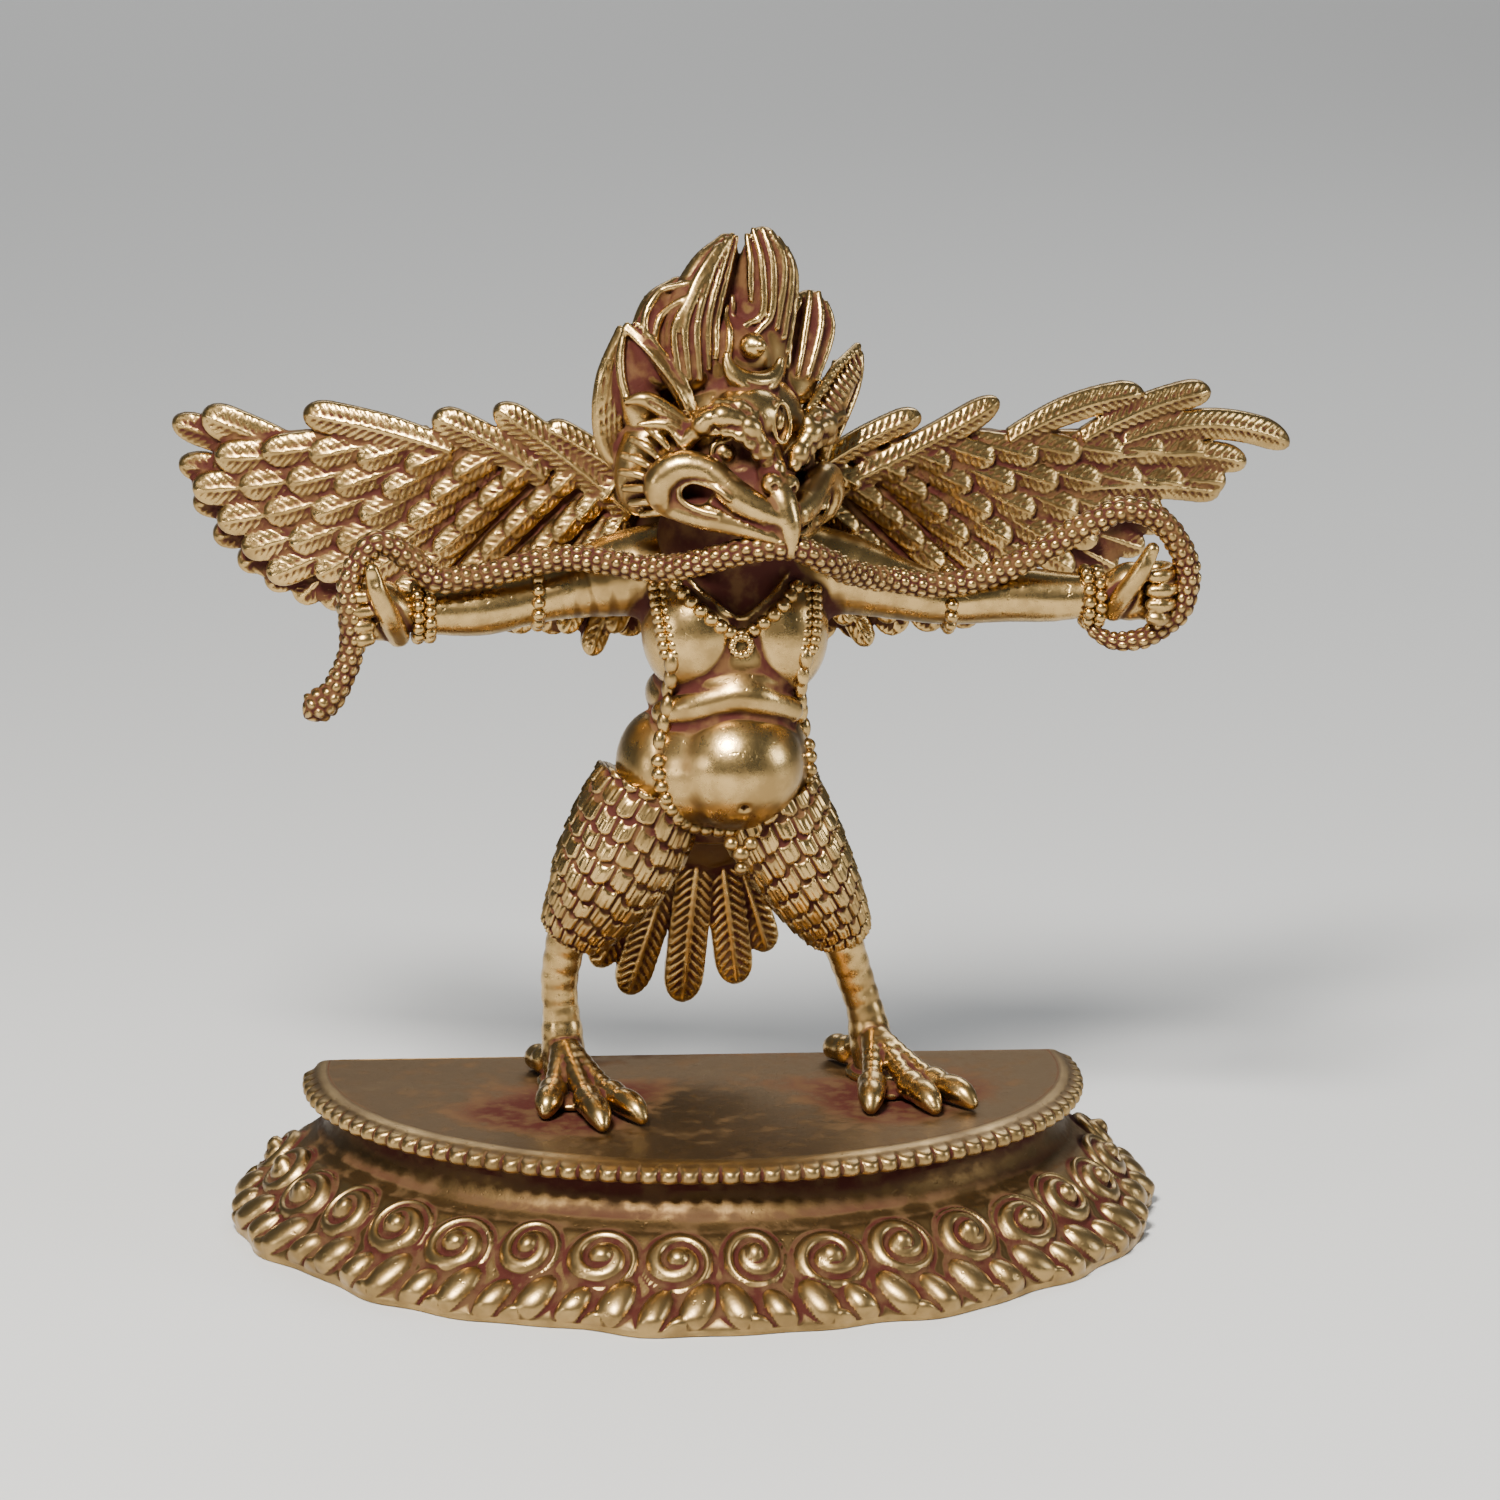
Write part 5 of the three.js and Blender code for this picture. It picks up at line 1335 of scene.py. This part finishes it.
def scroll_relief(x, y, phase):
    """Height of one scroll, in scroll radii: a domed coil with a knob in its middle."""
    r = np.hypot(x, y)
    turn = (r / 0.62 - np.arctan2(y, x) / (2 * math.pi) + phase) % 1.0
    groove = np.exp(-(((turn - 0.5) / 0.17) ** 2)) * smoothstep(r, 0.25, 0.42)
    dome = np.sqrt(np.clip(1 - (r / 1.04) ** 2, 0, 1)) ** 0.7
    knob = np.sqrt(np.clip(1 - (r / 0.3) ** 2, 0, 1))
    return dome * (0.62 - 0.5 * groove) + 0.34 * knob


def drop_relief(x, y, wide, high):
    return np.sqrt(np.clip(1 - (x / wide) ** 2 - (y / high) ** 2, 0, 1))


class GARUDA_OT_plinth(bpy.types.Operator):
    """Half-oval plinth with a beaded rim and a sloping band of scrolls"""

    bl_idname = "garuda.plinth"
    bl_label = "Plinth"

    def execute(self, context):
        sizes = context.scene.garuda_sizes
        high = PLINTH_TOP
        spread_in, bead_high, scroll_high = 10 * MM, 1.0 * MM, 1.9 * MM
        crimp_high, hammer_high = 0.42 * MM, 0.16 * MM
        front = np.linspace(math.radians(166.5), math.radians(374), 700)
        rows = np.concatenate([np.linspace(0, 5, 22)[:-1], np.linspace(5, 10, 15)[:-1],
                               np.linspace(10, 18, 58)])
        profile = curve_through(PROFILE, 181)
        index = rows / 18 * 180
        rise = np.interp(index, np.arange(181), profile[:, 0]) * high
        share = np.interp(index, np.arange(181), profile[:, 1])
        rise[-1] = 0.0
        a = front[None, :]
        spread = share[:, None] + 0 * a
        z = rise[:, None] + 0 * a
        x0, y0 = plinth_outline(a, 0 * a, sizes)
        run = run_along(np.stack([x0[0], y0[0]], 1))
        beads = round(run[-1] / sizes.rim_bead_pitch)
        wave = np.abs(np.sin(math.pi * run / run[-1] * beads))[None, :]
        band = smoothstep(rise, 0.83 * high, 0.87 * high) * smoothstep(rise, 0.99 * high, 0.95 * high)
        bead = band[:, None] * (wave**0.5) * bead_high
        band_x, band_y = plinth_outline(a, 0.5 + 0 * a, sizes)
        girth = run_along(np.stack([band_x[0], band_y[0]], 1))
        count = sizes.scrolls
        pitch = girth[-1] / count
        number = np.floor(girth / pitch)
        offset = (girth / pitch - number - 0.5) * pitch
        radius = 0.44 * pitch
        hand = np.where(number < count / 2, -1, 1)
        slant = run_along(np.stack([rise, spread_in * share], 1))
        middle = np.interp(-0.385 * high, -rise, slant)
        up = (middle - slant[:, None]) / radius
        vary = 1 + 0.1 * np.sin(number * 4.1 + 1)
        x = offset / (radius * vary) * hand
        relief = scroll_relief(x[None, :], up + (0.12 * np.sin(number * 2.4))[None, :], 0.1 * number % 1)
        drops = [(-0.27, -1.5, 0.5, 0.8), (0.24, -1.68, 0.42, 0.7), (0.0, -2.3, 0.36, 0.5)]
        for place, low, wide, tall in drops:
            at = ((girth / pitch - number) * hand - place) % 1 - 0.5
            lean = at[None, :] * pitch / radius + 0.3 * (up - low)
            relief = np.maximum(relief, 0.6 * drop_relief(lean, up - low, wide, tall))
        window = smoothstep(rise, 0.02 * high, 0.1 * high) * smoothstep(rise, 0.6 * high, 0.52 * high)
        relief = relief * window[:, None] * scroll_high
        crimp = (np.sin(a * 11) + 0.7 * np.sin(a * 19 + 1) + 0.5 * np.sin(a * 31 + 2)) * crimp_high
        foot = smoothstep(rise, 0.22 * high, 0.05 * high)[:, None]
        hammer = hammer_high * np.sin(a * 9 + 2) * smoothstep(rise, 0.9 * high, 0.7 * high)[:, None]
        x, y = plinth_outline(a, spread, sizes)
        clear = smoothstep(sizes.plinth_back - y, 0.2 * MM, 2.2 * MM)
        relief, bead, crimp = relief * clear, bead * clear, crimp * clear
        lifted = relief + bead + crimp * foot + hammer * clear
        fall, out = np.gradient(rise), spread_in * np.gradient(share)
        slope = fall / np.maximum(np.hypot(fall, out), 1e-9)
        outward = np.clip(-slope, 0.25, 1)[:, None]
        lean = np.sqrt(1 - np.clip(outward, 0, 0.999) ** 2) * (rise < 0.6 * high)[:, None]
        edge_x, edge_y = np.gradient(x, axis=1), np.gradient(y, axis=1)
        size = np.hypot(edge_x, edge_y)
        x = x + lifted * outward * edge_y / size
        y = y - lifted * outward * edge_x / size
        z = z + relief * lean
        back = sizes.plinth_back
        y = np.minimum(y, back)
        wall = np.stack([x, y, np.maximum(z, 0)], -1)
        dish = 0.12 * MM
        centre = np.array([0.0, back - 10 * MM, 0])
        rings = []
        for s in (0.03, 0.35, 0.7, 0.93):
            ring = centre + (wall[0] - centre) * (s, s, 1)
            ring[:, 2] = high - dish * s * (1 - s)
            ring[:, 1] = np.minimum(ring[:, 1], back)
            rings.append(ring)
        under = [centre * (1, 1, 0) + (wall[-1] - centre) * (s, s, 0) for s in (0.6, 0.03)]
        skin = np.stack([*rings, *wall, *under])
        closing = 24
        left, right = skin[:, -1], skin[:, 0]
        t = (np.arange(1, closing) / closing)[None, :, None]
        behind = left[:, None] * (1 - t) + right[:, None] * t
        skin = np.concatenate([skin, behind], 1)
        m, n = skin.shape[:2]
        quads = ring_quads(m, n)
        points = skin.reshape(-1, 3)
        points[:n] = points[:n].mean(0)
        points[-n:] = points[-n:].mean(0)
        if signed_volume(points, quads) < 0:
            quads = quads[:, ::-1]
        hollow = hollow_of(points, quads, 4, 9) / MM * 1.25 - 0.03
        hollow += self.patina_and_shade(points, high)
        show("plinth_casting", points, quads, hollow, dark_gilt(), "dark_gilt", ("plinth",))
        return {"FINISHED"}

    @staticmethod
    def patina_and_shade(points, high):
        """Painted shade over the plate, red patina round the feet and a faint oval of it, and a darker waist
        band.
        """
        x, y, z = points.T / MM
        top = z > high / MM - 0.6
        feet = 0
        for leg in LEGS:
            part = bpy.context.scene.garuda_sizes.figure_height / MM / 100
            fx, fy = leg["shank"][-1][0] * part, leg["shank"][-1][1] * part - 6
            feet = np.maximum(feet, smoothstep(np.hypot((x - fx) / 9, (y - fy) / 9), 1.25, 0.5))
        oval = np.exp(-(((np.hypot((x - 2) / 24, (y + 1) / 12) - 1) / 0.12) ** 2))
        rim = np.exp(-(((z - 0.53 * high / MM) / 0.5) ** 2)) * 0.09
        # 0.05 over the whole top is painted shade that dims the plate's reflection.
        return top * (0.05 + 0.12 * feet + 0.03 * oval) + rim


# The studio's soft lights: name, place, size, power, colour, and the point each is turned to.
MIDDLE = (0.004, 0, 0.05)
LIGHTS = [
    ("key", (-0.14, -0.34, 0.46), 0.13, 9.0, (1.0, 0.97, 0.92), MIDDLE),
    ("side", (0.5, -0.16, 0.2), 0.16, 1.0, (0.92, 0.96, 1.0), MIDDLE),
    ("low", (-0.5, -0.3, 0.16), 0.14, 0.6, (1.0, 0.98, 0.95), MIDDLE),
    ("rim", (0.3, 0.5, 0.55), 0.3, 1.4, (0.95, 0.98, 1.0), MIDDLE),
    ("far", (0.0, 1.3, 1.0), 0.9, 9.0, (1.0, 1.0, 1.0), (0, 1.5, 0)),
]


class GARUDA_OT_stage(bpy.types.Operator):
    """Pale floor, soft studio lights and the camera at the photograph's angle"""

    bl_idname = "garuda.stage"
    bl_label = "Stage"

    def execute(self, context):
        mesh = bpy.data.meshes.new("floor")
        half, reach, bend = 3.0, 1.6, 0.1
        line = [(-half, 0.0), (reach, 0.0)]
        for a in np.linspace(0.1, math.pi / 2, 14):
            line.append((reach + bend * math.sin(a), bend * (1 - math.cos(a))))
        line.append((reach + bend, 0.12))
        points = [(x, y, z) for y, z in line for x in (-half, half)]
        faces = [(2 * i, 2 * i + 1, 2 * i + 3, 2 * i + 2) for i in range(len(line) - 1)]
        mesh.from_pydata(points, [], faces)
        mesh.polygons.foreach_set("use_smooth", [True] * len(faces))
        floor = bpy.data.objects.new("floor", mesh)
        floor.location.z = -0.0001
        context.scene.collection.objects.link(floor)
        paper = bpy.data.materials.new("pale_floor")
        paper.use_nodes = True
        shader = paper.node_tree.nodes["Principled BSDF"]
        shader.inputs["Base Color"].default_value = (0.58, 0.58, 0.57, 1)
        shader.inputs["Roughness"].default_value = 0.7
        mesh.materials.append(paper)
        world = context.scene.world or bpy.data.worlds.new("studio")
        context.scene.world = world
        world.use_nodes = True
        world.node_tree.nodes["Background"].inputs["Color"].default_value = (0.82, 0.9, 1.0, 1)
        world.node_tree.nodes["Background"].inputs["Strength"].default_value = 0.11
        for lamp in LIGHTS:
            self.light(context, *lamp)
        self.camera(context)
        return {"FINISHED"}

    @staticmethod
    def light(context, name, place, size, power, colour, target):
        lamp = bpy.data.lights.new(name, "AREA")
        lamp.size = size
        lamp.energy = power
        lamp.color = colour
        holder = bpy.data.objects.new(name, lamp)
        context.scene.collection.objects.link(holder)
        holder.location = place
        aim = Vector(target) - Vector(place)
        holder.rotation_euler = aim.to_track_quat("-Z", "Y").to_euler()

    @staticmethod
    def camera(context):
        sizes = context.scene.garuda_sizes
        turn, lift = sizes.camera_turn, sizes.camera_lift
        aim = Vector((0.0051, 0, 0.0489))
        out = Vector((math.sin(turn) * math.cos(lift), -math.cos(turn) * math.cos(lift), math.sin(lift)))
        lens = bpy.data.cameras.new("camera")
        lens.sensor_width = 36
        lens.lens = 36 * sizes.camera_distance / sizes.frame_width
        lens.clip_start = 0.01
        eye = bpy.data.objects.new("camera", lens)
        context.scene.collection.objects.link(eye)
        eye.location = aim + out * sizes.camera_distance
        eye.rotation_euler = out.to_track_quat("Z", "Y").to_euler()
        context.scene.camera = eye


class GarudaSizes(bpy.types.PropertyGroup):
    """Sizes of the casting and the view"""

    figure_height: FloatProperty(
        name="Figure height", description="Height of the crest above the plinth", default=0.088, unit="LENGTH"
    )
    bead_radius: FloatProperty(
        name="Bead radius", description="Radius of a bead on the chest", default=0.0007, unit="LENGTH"
    )
    rim_bead_pitch: FloatProperty(
        name="Rim bead pitch", description="Distance between beads on the plinth's rim",
        default=0.00195, unit="LENGTH",
    )
    oval_half_width: FloatProperty(
        name="Oval half width", description="Half the width of the plinth's plate",
        default=0.0384, unit="LENGTH",
    )
    oval_half_depth: FloatProperty(
        name="Oval half depth", description="Half the depth of the plate's full oval",
        default=0.0313, unit="LENGTH",
    )
    plinth_back: FloatProperty(
        name="Plinth back", description="How far behind the origin the plinth is cut off",
        default=0.0133, unit="LENGTH",
    )
    scrolls: IntProperty(name="Scrolls", description="Scrolls round the plinth's skirt", default=19)
    body_step: FloatProperty(name="Body step", description="Step of the body's clay, in parts", default=0.34)
    head_step: FloatProperty(name="Head step", description="Step of the head's clay, in parts", default=0.262)
    wing_step: FloatProperty(name="Wing step", description="Step of the wings' clay, in parts", default=0.25)
    camera_turn: FloatProperty(
        name="Camera turn", description="Angle of the view round the figure",
        default=math.radians(-7), subtype="ANGLE",
    )
    camera_lift: FloatProperty(
        name="Camera lift", description="Angle of the view above level",
        default=math.radians(14), subtype="ANGLE",
    )
    camera_distance: FloatProperty(
        name="Camera distance", description="From the lens to the figure", default=0.56, unit="LENGTH"
    )
    frame_width: FloatProperty(
        name="Frame width", description="Width of the view at the figure", default=0.15, unit="LENGTH"
    )


class GarudaFinish(bpy.types.PropertyGroup):
    """Colours and polish of the metal"""

    gilding: FloatVectorProperty(
        name="Gilding", description="Colour of the clean gilding", subtype="COLOR", default=(0.6, 0.4, 0.155)
    )
    # The dull gilding colour also serves as painted shade in mild hollows and on faces that look down.
    tarnish_and_shade: FloatVectorProperty(
        name="Tarnish And Shade", description="Colour of dull gilding", subtype="COLOR", default=(0.13, 0.068, 0.022)
    )
    patina: FloatVectorProperty(
        name="Patina", description="Colour of the patina in the hollows", subtype="COLOR",
        default=(0.05, 0.011, 0.007),
    )
    plinth_metal: FloatVectorProperty(
        name="Plinth metal", description="Colour of the plinth's gilding", subtype="COLOR",
        default=(0.42, 0.28, 0.115),
    )
    # The plinth's dull colour also serves as its painted shade.
    plinth_tarnish_and_shade: FloatVectorProperty(
        name="Plinth tarnish", description="Colour of the plinth's dull bronze", subtype="COLOR",
        default=(0.1, 0.058, 0.023),
    )
    polish: FloatProperty(name="Polish", description="Roughness of the clean gilding", default=0.24)


class GARUDA_PT_panel(bpy.types.Panel):
    """Lists the operators that build the garuda"""

    bl_label = "Garuda"
    bl_space_type = "VIEW_3D"
    bl_region_type = "UI"
    bl_category = "Garuda"

    def draw(self, context):
        for operator in OPERATORS:
            self.layout.operator(operator.bl_idname)


OPERATORS = [
    GARUDA_OT_stage,
    GARUDA_OT_body,
    GARUDA_OT_beads,
    GARUDA_OT_thighs,
    GARUDA_OT_head,
    GARUDA_OT_wings,
    GARUDA_OT_tail,
    GARUDA_OT_serpent,
    GARUDA_OT_plinth,
]
CLASSES = [GarudaSizes, GarudaFinish, *OPERATORS, GARUDA_PT_panel]


def register():
    for made in CLASSES:
        bpy.utils.register_class(made)
    bpy.types.Scene.garuda_sizes = PointerProperty(type=GarudaSizes)
    bpy.types.Scene.garuda_finish = PointerProperty(type=GarudaFinish)


def unregister():
    del bpy.types.Scene.garuda_finish
    del bpy.types.Scene.garuda_sizes
    for made in reversed(CLASSES):
        bpy.utils.unregister_class(made)


def main():
    register()
    bpy.ops.garuda.stage()
    bpy.ops.garuda.body()
    bpy.ops.garuda.beads()
    bpy.ops.garuda.thighs()
    bpy.ops.garuda.head()
    bpy.ops.garuda.wings()
    bpy.ops.garuda.tail()
    bpy.ops.garuda.serpent()
    bpy.ops.garuda.plinth()


if __name__ == "__main__":
    main()
